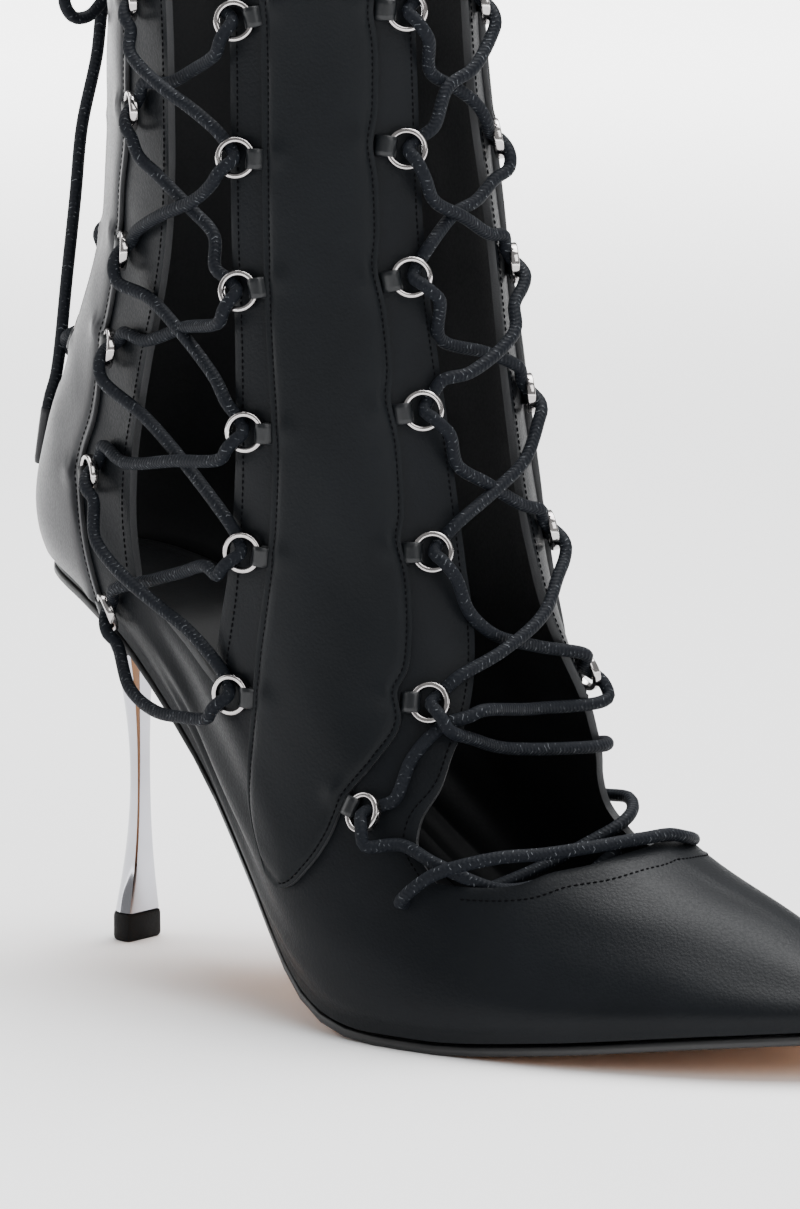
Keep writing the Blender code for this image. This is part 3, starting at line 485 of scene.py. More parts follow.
def smoothPath(points, spacing):
    # even points on one soft curve through the given ones
    points = np.asarray(points, float)
    ends = np.vstack((2 * points[0] - points[1], points, 2 * points[-1] - points[-2]))
    fine = [points[0]]
    for a, b, c, d in zip(ends, ends[1:], ends[2:], ends[3:]):
        t0, t1 = 0.0, np.linalg.norm(b - a) ** 0.5 + 1e-9
        t2 = t1 + np.linalg.norm(c - b) ** 0.5 + 1e-9
        t3 = t2 + np.linalg.norm(d - c) ** 0.5 + 1e-9
        for t in np.linspace(t1, t2, 13)[1:]:
            p1 = (t1 - t) / (t1 - t0) * a + (t - t0) / (t1 - t0) * b
            p2 = (t2 - t) / (t2 - t1) * b + (t - t1) / (t2 - t1) * c
            p3 = (t3 - t) / (t3 - t2) * c + (t - t2) / (t3 - t2) * d
            q1 = (t2 - t) / (t2 - t0) * p1 + (t - t0) / (t2 - t0) * p2
            q2 = (t3 - t) / (t3 - t1) * p2 + (t - t1) / (t3 - t1) * p3
            fine.append((t2 - t) / (t2 - t1) * q1 + (t - t1) / (t2 - t1) * q2)
    fine = np.array(fine)
    along = np.concatenate(((0,), np.cumsum(np.linalg.norm(np.diff(fine, axis=0), axis=1))))
    count = max(2, int(round(along[-1] / spacing)) + 1)
    at = np.linspace(0, along[-1], count)
    return np.stack([np.interp(at, along, fine[:, k]) for k in range(3)], 1), at


def tubePiece(name, path, along, diameter, finish, radii=None):
    # round closed tube with its own map: turns round, metres along
    sides = laceSet["sides"]
    tangents = np.gradient(path, axis=0)
    tangents /= np.linalg.norm(tangents, axis=1, keepdims=True)
    side = unit(np.cross(tangents[0], (0.31, 0.9, 0.23)))
    rows = []
    angles = np.linspace(0, 2 * np.pi, sides, endpoint=False)
    for i, (point, tangent) in enumerate(zip(path, tangents)):
        side = unit(side - tangent * side.dot(tangent))
        other = np.cross(tangent, side)
        radius = diameter / 2 if radii is None else radii[i]
        rows.append(point + radius * (np.cos(angles)[:, None] * side + np.sin(angles)[:, None] * other))
    count = len(path)
    domed = diameter * 0.12      # the ends stand out a little
    points = np.vstack(rows + [path[:1] - tangents[:1] * domed, path[-1:] + tangents[-1:] * domed])
    faces = gridFaces(count, sides, closed=True)
    first, last = count * sides, count * sides + 1
    faces += [(first, (c + 1) % sides, c) for c in range(sides)]
    faces += [(last, (count - 1) * sides + c, (count - 1) * sides + (c + 1) % sides) for c in range(sides)]
    piece = addPiece(name, points, faces, [finish])
    layer = piece.data.uv_layers.new(name="cordMap")
    loopVerts = np.empty(len(piece.data.loops), int)
    piece.data.loops.foreach_get("vertex_index", loopVerts)
    row = np.minimum(loopVerts // sides, count - 1)
    turn = (loopVerts % sides) / sides
    uv = np.stack((turn, along[row]), 1)
    for polygon in piece.data.polygons:      # the last column of faces ends at a whole turn
        loops = list(polygon.loop_indices)
        if uv[loops, 0].max() - uv[loops, 0].min() > 0.6:
            for k in loops:
                if uv[k, 0] < 0.3:
                    uv[k, 0] += 1.0
    layer.data.foreach_set("uv", uv.ravel())
    return piece


def throughRing(ring, stop=False):
    # in under the raised rim from above, out of the hole and over the rim on its way down
    c, up, out, gap = ring["centre"], ring["up"], ring["out"], -ring["toEdge"]
    comes = unit(up * 0.72 + gap * 0.69)
    goes = unit(-up * 0.80 + gap * 0.60)
    points = [c + comes * 0.0080 + out * 0.0019, c + comes * 0.0045 + out * 0.0015,
              c + comes * 0.0018 + out * 0.0019, c + goes * 0.0003 + out * 0.0031]
    if stop:
        return points
    return points + [c + goes * 0.0026 + out * 0.0047, c + goes * 0.0048 + out * 0.0053,
                     c + goes * 0.0075 + out * 0.0048]


def seen(point, right, up, out=0.0, away=None):
    # moved by millimetres to the right and up as the camera sees it
    moved = point + (viewRight * right + viewUp * up) * 0.001
    return moved if away is None else moved + away * out * 0.001


def bentStrand(start, end, bends, away):
    # bends: share along the straight line, then mm right, up and out; or a plain point in mm
    return [np.array(bend) * 0.001 if len(bend) == 3
            else seen(start + (end - start) * bend[0], *bend[1:], away) for bend in bends]


def downward(left, right, startLeft, bends, mirror=False):
    # from the first row down to the last, one side and then the other
    route = []
    chain = [(left if (i % 2 == 0) == startLeft else right)[i] for i in range(len(left))]
    for i, ring in enumerate(chain):
        if i == 0:
            route += throughRing(ring)[1:]
        else:
            before = chain[i - 1]
            start, end = throughRing(before)[-1], throughRing(ring)[0]
            away = unit(before["out"] + ring["out"])
            leftward = (i - 1) % 2 == (0 if startLeft else 1)      # leaves a left ring
            row = bends[i - 1][0 if leftward else 1]
            if mirror:
                for t, r, u, o in row:
                    point = start + (end - start) * t + away * o * 0.001
                    route.append(point + np.array((r * 0.0013, 0, u * 0.001)))
            else:
                route += bentStrand(start, end, row, away)
            route += throughRing(ring)
    return route


# Bends of each strand, top row first: the one that leaves the left ring, then the right ring's
sideBends = (
    ([(0.14, -2.4, -2.0, 0.6), (0.48, -1.7, -1.6, 1.5), (0.77, -0.4, -0.4, 1.0)],
     [(0.12, 0.3, -0.6, -0.5), (0.4, 0.6, -1.1, -1.2), (0.74, 0.9, -1.6, -1.0)]),
    ([(0.12, -1.0, -0.7, -0.5), (0.28, -0.2, -0.2, -1.0), (0.57, 1.4, 0.8, -1.3), (0.81, 2.7, 1.7, -0.7)],
     [(0.23, 0.8, -1.1, 1.0), (0.6, 0.3, -0.3, 1.4)]),
    ([(0.2, 2.6, 2.1, 0.9), (0.53, 3.0, 2.4, 1.5), (0.85, 1.6, 1.3, 0.6)],
     [(0.42, 0.2, -0.3, -1.3), (0.82, 0.3, -2.2, -0.6)]),
    ([(0.27, 0.8, 0.5, -1.0), (0.53, 0.7, 0.3, -1.3)],
     [(0.36, 0.1, -1.5, 1.3), (0.80, 0.0, -3.0, 0.9)]),
    ([(0.16, -3.5, -2.8, 0.7), (0.33, -3.5, -2.9, 1.3), (0.46, -2.7, -2.3, 1.5), (0.63, -1.2, -1.2, 1.4),
      (0.8, 0.0, -0.1, 0.9)],
     [(0.1, -0.4, 2.2, -0.4), (0.38, -0.1, 1.6, -1.2), (0.64, 0.0, 0.9, -1.2)]),
)
frontBends = (
    ([(0.3, -2.6, -1.7, -1.1), (0.6, -0.3, -0.1, -1.2), (0.83, 0.6, 0.5, -0.7)],
     [(0.38, -0.3, 0.1, 1.4), (0.65, -2.4, 1.4, 1.3)]),
    ([(0.2, -2.1, -2.3, 0.7), (0.51, -1.7, -2.0, 1.5), (0.85, -1.2, -1.5, 0.7)],
     [(0.14, -0.2, 0.2, -0.5), (0.38, 0.3, -0.5, -1.2), (0.58, -0.5, 0.4, -1.3)]),
    ([(0.26, -3.9, -4.4, -0.9), (0.7, -1.1, -1.1, -1.0)],
     [(0.16, 0.5, -0.5, 0.7), (0.34, 3.3, -2.8, 1.3), (0.81, 2.4, -2.1, 0.8)]),
    ([(0.2, -3.0, -3.4, 0.8), (0.48, -2.6, -2.9, 1.5), (0.84, -1.4, -1.6, 0.7)],
     [(0.28, 2.8, -2.3, -1.0), (0.59, 2.1, -1.8, -1.2)]),
    ([(0.14, -3.4, -5.2, 2.4), (0.35, -4.3, -6.8, 2.6), (0.71, -1.9, -2.8, -0.6)],
     [(0.12, 1.0, -0.9, 0.6), (0.37, 3.1, -3.0, 1.4), (0.7, 2.2, -2.2, 1.2)]),
    ([(0.14, -0.4, -1.3, 0.6), (0.38, -0.8, -2.6, 1.4), (121.6, 25.4, 57.6), (118.9, 29.4, 57.4),
      (115.3, 31.2, 56.6)],
     [(0.30, -3.0, 3.4, 2.0), (121.4, -17.6, 71.5), (120.4, -19.9, 70.6), (117.7, -23.7, 69.4), (115.3, -27.0, 66.6),
      (113.0, -31.0, 61.3)]),
)
innerBends = [([(0.30, 0.0, -2.0, 1.5), (0.6, 0.0, -1.0, 1.6)], [(0.30, 0.0, -2.0, 0.0), (0.6, 0.0, -1.5, -1.6)])
              for _ in range(5)]
backBends = [([(0.5, 0.0, -0.5, 1.5)], [(0.5, 0.0, -0.5, -1.5)]) for _ in range(3)]

frontLeft, frontRight = rings["front", -1], rings["front", 1]
halfA = downward(frontLeft, frontRight, True, frontBends)       # ends in the near row 7 ring
halfB = downward(frontLeft, frontRight, False, frontBends)


def holeRoute(side):
    # up through the leather at a punched hole
    return [raised(side * vampHole[0], vampHole[1], lift) for lift in (-0.0042, 0.0005, 0.0024)]


# inside the throat, in mm: from the near low ring to the far hole, and back again
lowFar = ((115.5, -37.0, 44.0), (124.0, -35.5, 40.8), (133.0, -26.0, 35.0), (128.0, 5.0, 32.0), (117.0, 27.0, 28.0))
lowNear = ((119.0, 37.0, 43.6), (123.6, 33.0, 42.2), (125.6, 26.5, 40.2), (123.7, 18.0, 37.2), (121.0, 2.0, 33.0),
           (118.0, -16.0, 30.0))


bar = [seen(raised(-0.66, 3.42, 0.004), -2.9, 2.0), seen(raised(-0.73, 3.78, 0.004), -1.8, 1.6)]
bar += [np.array(p) * 0.001 for p in ((142.6, -21.7, 43.3), (149.1, -13.7, 44.4), (152.9, -6.0, 45.1),
                                      (154.6, 0.5, 45.2), (155.2, 6.5, 45.0), (155.4, 11.5, 43.7),
                                      (152.5, 18.5, 41.6))]
bar += [raised(0.72, 3.62, 0.0020)]
# the near ring's lace goes to the far hole and the far ring's to the near hole
routeA = halfA + [np.array(p) * 0.001 for p in lowFar] + holeRoute(1)
routeB = halfB + [np.array(p) * 0.001 for p in lowNear] + holeRoute(-1)
frontRoute = routeB + bar + routeA[::-1]

lacePieces = []
path, along = smoothPath(frontRoute, laceSet["spacing"])
lacePieces.append(("lace_front", tubePiece("laceFront", path, along, laceSet["diameter"], laceCord)))
for side, sideName in ((-1, "outer"), (1, "inner")):
    left, right = rings["counter", side], rings["panel", side]
    bends = sideBends if side < 0 else innerBends
    first = downward(left, right, True, bends, side > 0)
    second = downward(left, right, False, bends, side > 0)
    lowPanel, lowCounter = throughRing(right[-1])[-1], throughRing(left[-1])[-1]
    middle = (lowPanel + lowCounter) / 2
    away = unit(right[-1]["out"] + left[-1]["out"])
    hang = [middle + (lowPanel - middle) * 0.55 + np.array((0, 0, -0.0035)) + away * 0.001,
            middle + np.array((0, 0, -0.0065)) + away * 0.002,
            middle + (lowCounter - middle) * 0.55 + np.array((0, 0, -0.0060)) + away * 0.002]
    # 'first' starts at the counter's top ring and ends at the panel's low ring
    route = first + hang + second[::-1]
    path, along = smoothPath(route, laceSet["spacing"])
    lacePieces.append(("lace_" + sideName, tubePiece("lace" + sideName.capitalize(), path, along,
                                                     laceSet["diameter"], laceCord)))

knotPlace = raised(0.0, 10.25, 0.0056, False).reshape(3)
backLeft, backRight = rings["back", -1], rings["back", 1]
first = downward(backLeft, backRight, True, backBends, True)
second = downward(backLeft, backRight, False, backBends, True)
lowMiddle = (throughRing(backLeft[-1])[-1] + throughRing(backRight[-1])[-1]) / 2 + np.array((-0.0015, 0, -0.0030))


def toKnot(ring, side):
    c = ring["centre"]
    return [knotPlace + np.array((0.0012, side * 0.0022, -0.0010)),
            (c + knotPlace) / 2 + ring["out"] * 0.0036 + np.array((0, side * 0.001, 0.001))]


backRoute = toKnot(backLeft[0], -1) + first + [lowMiddle] + second[::-1] + toKnot(backRight[0], 1)[::-1]
path, along = smoothPath(backRoute, laceSet["spacing"])
lacePieces.append(("lace_back", tubePiece("laceBack", path, along, laceSet["diameter"], laceCord)))
for cadNode, piece in lacePieces:
    settle(piece, "lace_cord", cadNode)
print("laces run through the rings")

# Bow: knot, two loops and two hanging tails with their tips
bowSet = dict(tipLength=0.014, tipRadius=0.00155,
              loop=((0, 1.0, -0.6), (2.6, 5.5, -1.6), (4.2, 10.0, -0.2), (5.2, 13.5, 3.2), (5.6, 14.6, 7.6),
                    (5.0, 12.2, 11.2), (4.0, 8.2, 11.0), (2.8, 4.9, 7.6), (1.4, 2.6, 3.6), (0, 1.0, 0.4)))


def fromKnot(back, across, down):
    return knotPlace + np.array((-back, across, -down))


turns = np.linspace(0, 2 * np.pi, 60)
knotRoute = np.stack((-np.sin(3 * turns) * 0.0011, (np.cos(turns) - 2 * np.cos(2 * turns)) * 0.00105,
                      (np.sin(turns) + 2 * np.sin(2 * turns)) * 0.00085), 1) + knotPlace
path, along = smoothPath(knotRoute, 0.0007)
knot = tubePiece("bowKnot", path, along, 0.0027, laceCord)
settle(knot, "lace_cord", "lace_bow")
# the tails' places in mm, off the knot and down behind the boot
tailPlaces = ((-3.1, 4.0, 219.6), (-4.7, 5.0, 206.7), (-8.6, 6.0, 190.4), (-10.0, 7.0, 173.9), (-11.8, 8.0, 156.4),
              (-14.6, 9.0, 133.1), (-16.5, 9.5, 126.7), (-19.3, 10.0, 111.7))
for side, sideName in ((-1, "Outer"), (1, "Inner")):
    loopRoute = [fromKnot(back * 0.001, side * across * 0.001, down * 0.001) for back, across, down in bowSet["loop"]]
    path, along = smoothPath(loopRoute, 0.001)
    loop = tubePiece("bowLoop" + sideName, path, along, laceSet["diameter"], laceCord)
    settle(loop, "lace_cord", "lace_bow")
    tailRoute = [fromKnot(0.0, 0.0, 0.0), fromKnot(0.0018, side * 0.0022, 0.0036)]
    tailRoute += [np.array((x, side * y, z)) * 0.001 for x, y, z in tailPlaces]
    path, along = smoothPath(tailRoute, 0.0011)
    cut = int(np.searchsorted(along, along[-1] - bowSet["tipLength"]))
    tail = tubePiece("bowTail" + sideName, path[:cut + 3], along[:cut + 3], laceSet["diameter"], laceCord)
    tipPath, tipAlong = path[cut:], along[cut:]
    share = (tipAlong - tipAlong[0]) / (tipAlong[-1] - tipAlong[0])
    radii = bowSet["tipRadius"] * (1 - 0.10 * share) * np.where(share > 0.93, 0.86, 1.0)
    tip = tubePiece("bowTip" + sideName, tipPath, tipAlong, laceSet["diameter"], agletBlack, radii=radii)
    for piece in (tail, tip):
        settle(piece, "lace_cord", "lace_bow")
print("bow tied")

# Upper: one sheet round the foot, gaps left open
upperSet = dict(wall=0.0018, edgeBevel=0.0004, innerTuck=0.022,
                columns=(2, 22, 12, 26, 26), bandRows=32, panelRows=84)
edges = (backGapEdge, counterEdge, panelEdge, throatEdge)


def gapLevel(share, height):
    foot = curveThrough(gapFootTable[0], gapFootTable[1], share)
    lasted = form["lasted"]
    return np.where(height <= 1, lasted + (foot - lasted) * height, foot + (form["top"] - foot) * (height - 1))


def makeUpper():
    heights = np.concatenate(((-1.0,), np.linspace(0, 1, upperSet["bandRows"]),
                              1 + np.linspace(0, 1, upperSet["panelRows"] + 1)[1:] ** 1.3))
    openColumn = []
    for count, gap in zip(upperSet["columns"], (True, False, True, False, True)):
        openColumn += [gap] * count
    sideCount = len(openColumn)
    rows = []
    for height in heights:
        at = max(height, 0.0)
        stops = [0.0] + [float(edgeAt(edge, at)) for edge in edges] + [1.0]
        shares = [np.array((0.0,))]
        for low, high, count in zip(stops, stops[1:], upperSet["columns"]):
            shares.append(low + (high - low) * np.arange(1, count + 1) / count)
        shares = np.concatenate(shares)
        tuck = upperSet["innerTuck"] * ease(1.25, 1.5, at) * np.exp(-((shares - stops[3]) / 0.05) ** 2)
        innerShares = shares - tuck * (shares >= stops[2]) * (shares <= stops[4])
        around = np.concatenate((-shares, innerShares[-2:0:-1]))
        level = np.zeros(len(around)) if height < 0 else gapLevel(np.abs(around), height)
        rows.append(raised(around, level, np.zeros(len(around))))
    width = 2 * sideCount

    def keep(r, c):
        column = c if c < sideCount else width - 1 - c
        return heights[r + 1] <= 1.0 + 1e-9 or not openColumn[column]

    piece = addPiece("upperShell", np.array(rows), gridFaces(len(heights), width, keep, True),
                     [upperLeather, liningLeather, cutEdge])
    faceOutward(piece, (-1, 0, 0))
    wall(piece, upperSet["wall"], 1, 2, upperSet["edgeBevel"])
    return piece


upper = makeUpper()
settle(upper, "upper_leather", "upper")
print("upper made")

# Overlays: strips with a pinched stitch line inside their edges
overlaySet = dict(wall=0.0011, edgeLift=0.00115, swell=0.0006, stitchIn=0.0014, groove=0.00032, bump=0.0008)


def stripProfile(distance):
    # lift of the outer face against the distance from the nearest edge
    rise = overlaySet["swell"] * ease(0.0, 0.0042, distance)
    pinch = overlaySet["groove"] * np.exp(-((distance - overlaySet["stitchIn"]) / 0.0005) ** 2)
    return overlaySet["edgeLift"] + rise - pinch


edgeSteps = np.array((0, .0003, .0007, .0010, .0012, .0014, .0016, .0018, .0022, .0028, .0036, .0046))


def stripShares(low, high, level, side, middle=14):
    # columns at set distances from both edges, then evenly across
    line = surface(side * np.linspace(low, high, 9), np.full(9, level))
    width = np.linalg.norm(np.diff(line, axis=0), axis=1).sum()
    reach = min(1.0, width * 0.42 / edgeSteps[-1])
    inside = edgeSteps * reach
    centre = np.linspace(inside[-1], width - inside[-1], middle + 2)[1:-1]
    distances = np.concatenate((inside, centre, (width - inside)[::-1]))
    return low + (high - low) * distances / width, np.minimum(distances, width - distances), width, reach


def strapEdges(level):
    low, high = float(edgeAt(strapBack, level)), float(edgeAt(strapFront, level))
    if level > 5.0:
        rows = np.array(frontRows[:6])
        high -= 0.010 * float(np.exp(-((level - rows) / 0.17) ** 2).sum())
    return low, high


def tabBumps(around, level, rowSets):
    # soft bumps where the tabs pass under the overlay
    lift = np.zeros(np.shape(around))
    for ring in rowSets:
        centre = ring["centre"] + ring["toEdge"] * (ringSet["reach"] + 0.0034) + ring["up"] * 0.0012
        distance = np.linalg.norm(surface(around, level) - centre, axis=-1)
        lift += overlaySet["bump"] * np.exp(-(distance / 0.0023) ** 2)
    return lift


def frontOverlay(side, name):
    low = strapBack[0][0]
    levels = np.concatenate((np.linspace(low, 3.0, 14), np.linspace(3.0, form["top"], 130)[1:]))
    rows, stitchLeft, stitchRight = [], [], []
    for level in levels:
        shares, distance, width, reach = stripShares(*strapEdges(level), level, side)
        distance = np.minimum(distance, (level - low) * 0.011)
        around, height = side * shares, np.full(len(shares), level)
        lift = stripProfile(distance) + tabBumps(around, height, rings["front", side] + rings["panel", side])
        rows.append(raised(around, height, lift))
        if width > 0.0042 and level > 2.48:
            stitchLeft.append(rows[-1][5] if reach > 0.99 else rows[-1][7])
            stitchRight.append(rows[-1][-6] if reach > 0.99 else rows[-1][-8])
    piece = addPiece(name, np.array(rows), gridFaces(len(levels), rows[0].shape[0]),
                     [overlayLeather, overlayLeather, cutEdge])
    faceOutward(piece, outward(side * 0.47, 2.4))
    wall(piece, overlaySet["wall"], 1, 2, 0.0003)
    return piece, stitchLeft[::-1] + stitchRight


stitchPaths = []
for side, cadNode, name in ((-1, "overlay_front_outer", "frontStrapOuter"),
                            (1, "overlay_front_inner", "frontStrapInner")):
    strap, stitchPath = frontOverlay(side, name)
    stitchPaths.append(stitchPath)
    settle(strap, "overlay_leather", cadNode)


def counterOverlay():
    # two uprights and the cup between them; the cup's top is a soft hollow
    turnRows = 26
    joints = np.linspace(0, 1, turnRows)
    foot, footTop, cupTop = form["lasted"], 3.7, 3.05
    levels = np.concatenate((foot + (footTop - foot) * joints, np.linspace(footTop, form["top"], 96)[1:]))
    cupShares = np.linspace(-uprightStart, uprightStart, 25)[1:-1]
    rows, stitchOuter, stitchInner, backOuter, backInner = [], [], [], [], []
    for r, level in enumerate(levels):
        parts = []
        for side in (-1, 1):
            low, high = uprightStart, float(edgeAt(uprightFront, level))
            shares, distance, width, reach = stripShares(low, high, level, side, 12)
            if level <= footTop:
                distance = np.minimum((1 - (shares - low) / (high - low)) * width, 0.02)
            around, height = side * shares, np.full(len(shares), level)
            lift = stripProfile(distance) + tabBumps(around, height, rings["counter", side] + rings["back", side])
            parts.append(raised(around, height, lift))
            (stitchOuter if side < 0 else stitchInner).append(parts[-1][-6])
            if level > footTop:
                (backOuter if side < 0 else backInner).append(parts[-1][5])
        if level <= footTop + 1e-9:
            top = cupTop + (footTop - cupTop) * np.abs(cupShares / uprightStart) ** 3
            height = foot + (top - foot) * joints[min(r, turnRows - 1)]
            lift = stripProfile(np.minimum((top - height) * 0.0125, 0.02))
            cup = raised(cupShares, height, lift)
        else:
            cup = np.zeros((len(cupShares), 3))
        rows.append(np.vstack((parts[0][::-1], cup, parts[1])))
    count = parts[0].shape[0]
    columns = rows[0].shape[0]

    def keep(r, c):
        return r + 1 < turnRows or c < count - 1 or c >= columns - count

    piece = addPiece("counterCup", np.array(rows), gridFaces(len(levels), columns, keep),
                     [counterLeather, overlayLeather, cutEdge])
    faceOutward(piece, outward(-0.25, 0.4))
    wall(piece, overlaySet["wall"], 1, 2, 0.0003)
    return piece, [stitchOuter, stitchInner, backOuter, backInner]


counter, counterStitches = counterOverlay()
stitchPaths += counterStitches
settle(counter, "overlay_leather", "overlay_counter")
print("overlays made")

# Stitch lines of the upper's own edges
baseStitch = dict(inside=0.0011, lift=0.00005)
for side in (-1, 1):
    for edge, direction in ((panelEdge, 1), (throatEdge, -1), (counterEdge, -1)):
        heights = 1 + np.linspace(0.02, 1, 120) ** 1.2
        shares = edgeAt(edge, heights) + direction * 0.0125
        stitchPaths.append(raised(side * shares, gapLevel(shares, heights), np.full(120, baseStitch["lift"])))
topShares = np.linspace(0.665, 1.0, 60)
topline = [raised(-topShares, gapLevel(topShares, np.full(60, 0.945)), np.full(60, 0.00005)),
           raised(topShares[::-1], gapLevel(topShares[::-1], np.full(60, 0.945)), np.full(60, 0.00005))[1:]]
stitchPaths.append(np.vstack(topline))


# Geometry Nodes: stitches laid along the lines at an even pitch
def geometryTree(name, inputs):
    tree = bpy.data.node_groups.new(name, "GeometryNodeTree")
    tree.interface.new_socket("Geometry", in_out="INPUT", socket_type="NodeSocketGeometry")
    for label, kind in inputs:
        tree.interface.new_socket(label, in_out="INPUT", socket_type=kind)
    tree.interface.new_socket("Geometry", in_out="OUTPUT", socket_type="NodeSocketGeometry")
    return tree, tree.nodes.new("NodeGroupInput"), tree.nodes.new("NodeGroupOutput")


def runTree(guide, tree, values, name):
    # the tree's result as a plain mesh piece
    changer = guide.modifiers.new("nodes", "NODES")
    changer.node_group = tree
    names = {item.name: item.identifier for item in tree.interface.items_tree if item.in_out == "INPUT"}
    for label, value in values.items():
        changer[names[label]] = value
    bpy.context.view_layer.update()
    ready = guide.evaluated_get(bpy.context.evaluated_depsgraph_get())
    mesh = bpy.data.meshes.new_from_object(ready)
    mesh.name = name
    guide.modifiers.remove(changer)
    bpy.data.objects.remove(guide)
    return addObject(name, mesh)


def setOnPoints(tree, end, points, shape, turn, material, scale=None, smooth=True):
    placed = node(tree, "GeometryNodeInstanceOnPoints", {"Points": points, "Instance": shape, "Rotation": turn,
                                                         "Scale": scale or (1.0, 1.0, 1.0)})
    real = node(tree, "GeometryNodeRealizeInstances", {"Geometry": placed.outputs["Instances"]})
    if smooth:
        real = node(tree, "GeometryNodeSetShadeSmooth", {"Geometry": real.outputs["Geometry"]})
    look = node(tree, "GeometryNodeSetMaterial", {"Geometry": real.outputs["Geometry"], "Material": material})
    tree.links.new(look.outputs["Geometry"], end.inputs["Geometry"])
    return tree


def stitchTree():
    tree, start, end = geometryTree("stitchLine", (("Pitch", floatKind), ("Length", floatKind),
                                                   ("Thickness", floatKind), ("Thread", "NodeSocketMaterial")))
    line = node(tree, "GeometryNodeMeshToCurve", {"Mesh": start.outputs["Geometry"]})
    spots = node(tree, "GeometryNodeCurveToPoints",
                 {"Curve": line.outputs["Curve"], "Length": start.outputs["Pitch"]}, mode="LENGTH")
    bead = node(tree, "GeometryNodeMeshUVSphere", {"Segments": 6, "Rings": 5, "Radius": 0.5})
    size = node(tree, "ShaderNodeCombineXYZ", {"X": start.outputs["Thickness"], "Y": start.outputs["Thickness"],
                                               "Z": start.outputs["Length"]})
    return setOnPoints(tree, end, spots.outputs["Points"], bead.outputs["Mesh"], spots.outputs["Rotation"],
                       start.outputs["Thread"], size.outputs["Vector"])


stitchSet = dict(pitch=0.00140, length=0.00100, thickness=0.00042)
points, lines = [], []
for line in stitchPaths:
    base = len(points)
    points += [tuple(p) for p in line]
    lines += [(base + k, base + k + 1) for k in range(len(line) - 1)]
guideMesh = bpy.data.meshes.new("stitchGuide")
guideMesh.from_pydata(points, lines, [])
guide = addObject("stitchGuide", guideMesh)
stitches = runTree(guide, stitchTree(), {"Pitch": stitchSet["pitch"], "Length": stitchSet["length"],
                                         "Thickness": stitchSet["thickness"], "Thread": threadBlack}, "stitches")
settle(stitches, "lace_cord")
print("stitches sewn:", len(stitches.data.polygons), "faces")


# Geometry Nodes: a ring and its tab at every eyelet
def ringTree():
    tree, start, end = geometryTree("eyeletRing", (("Outer radius", floatKind), ("Band", floatKind),
                                                   ("Thickness", floatKind), ("Metal", "NodeSocketMaterial")))
    half = mathNode(tree, "MULTIPLY", start.outputs["Band"], 0.5)
    middle = mathNode(tree, "SUBTRACT", start.outputs["Outer radius"], half)
    circle = node(tree, "GeometryNodeCurvePrimitiveCircle", {"Resolution": 40, "Radius": middle})
    section = node(tree, "GeometryNodeCurvePrimitiveQuadrilateral",
                   {"Width": start.outputs["Thickness"], "Height": start.outputs["Band"]})
    corner = mathNode(tree, "MULTIPLY", start.outputs["Thickness"], 0.32)
    rounded = node(tree, "GeometryNodeFilletCurve",
                   {"Curve": section.outputs["Curve"], "Radius": corner, "Count": 3, "Limit Radius": True},
                   mode="POLY")
    swept = node(tree, "GeometryNodeCurveToMesh", {"Curve": circle.outputs["Curve"],
                                                   "Profile Curve": rounded.outputs["Curve"]})
    turn = node(tree, "GeometryNodeInputNamedAttribute", {"Name": "turn"}, data_type="FLOAT_VECTOR")
    return setOnPoints(tree, end, start.outputs["Geometry"], swept.outputs["Mesh"], turn.outputs["Attribute"],
                       start.outputs["Metal"])


def tabTree():
    tree, start, end = geometryTree("eyeletTab", (("Tab", "NodeSocketObject"), ("Leather", "NodeSocketMaterial")))
    source = node(tree, "GeometryNodeObjectInfo", {"Object": start.outputs["Tab"]})
    turn = node(tree, "GeometryNodeInputNamedAttribute", {"Name": "turn"}, data_type="FLOAT_VECTOR")
    return setOnPoints(tree, end, start.outputs["Geometry"], source.outputs["Geometry"], turn.outputs["Attribute"],
                       start.outputs["Leather"], smooth=False)


def ringGuide(name, tilt, lift):
    # a point for each ring with its turn: x toward the overlay's edge, z outward
    spots, turns = [], []
    theta = math.radians(tilt)
    for group in rings.values():
        for ring in group:
            x = ring["toEdge"] * math.cos(theta) - ring["out"] * math.sin(theta)
            z = ring["out"] * math.cos(theta) + ring["toEdge"] * math.sin(theta)
            y = np.cross(z, x)
            spots.append(tuple(ring["centre"] + ring["out"] * lift))
            turns.append(Matrix((tuple(x), tuple(y), tuple(z))).transposed().to_euler())
    mesh = bpy.data.meshes.new(name)
    mesh.from_pydata(spots, [], [])
    attribute = mesh.attributes.new("turn", "FLOAT_VECTOR", "POINT")
    for item, turn in zip(attribute.data, turns):
        item.vector = tuple(turn)
    return addObject(name, mesh)


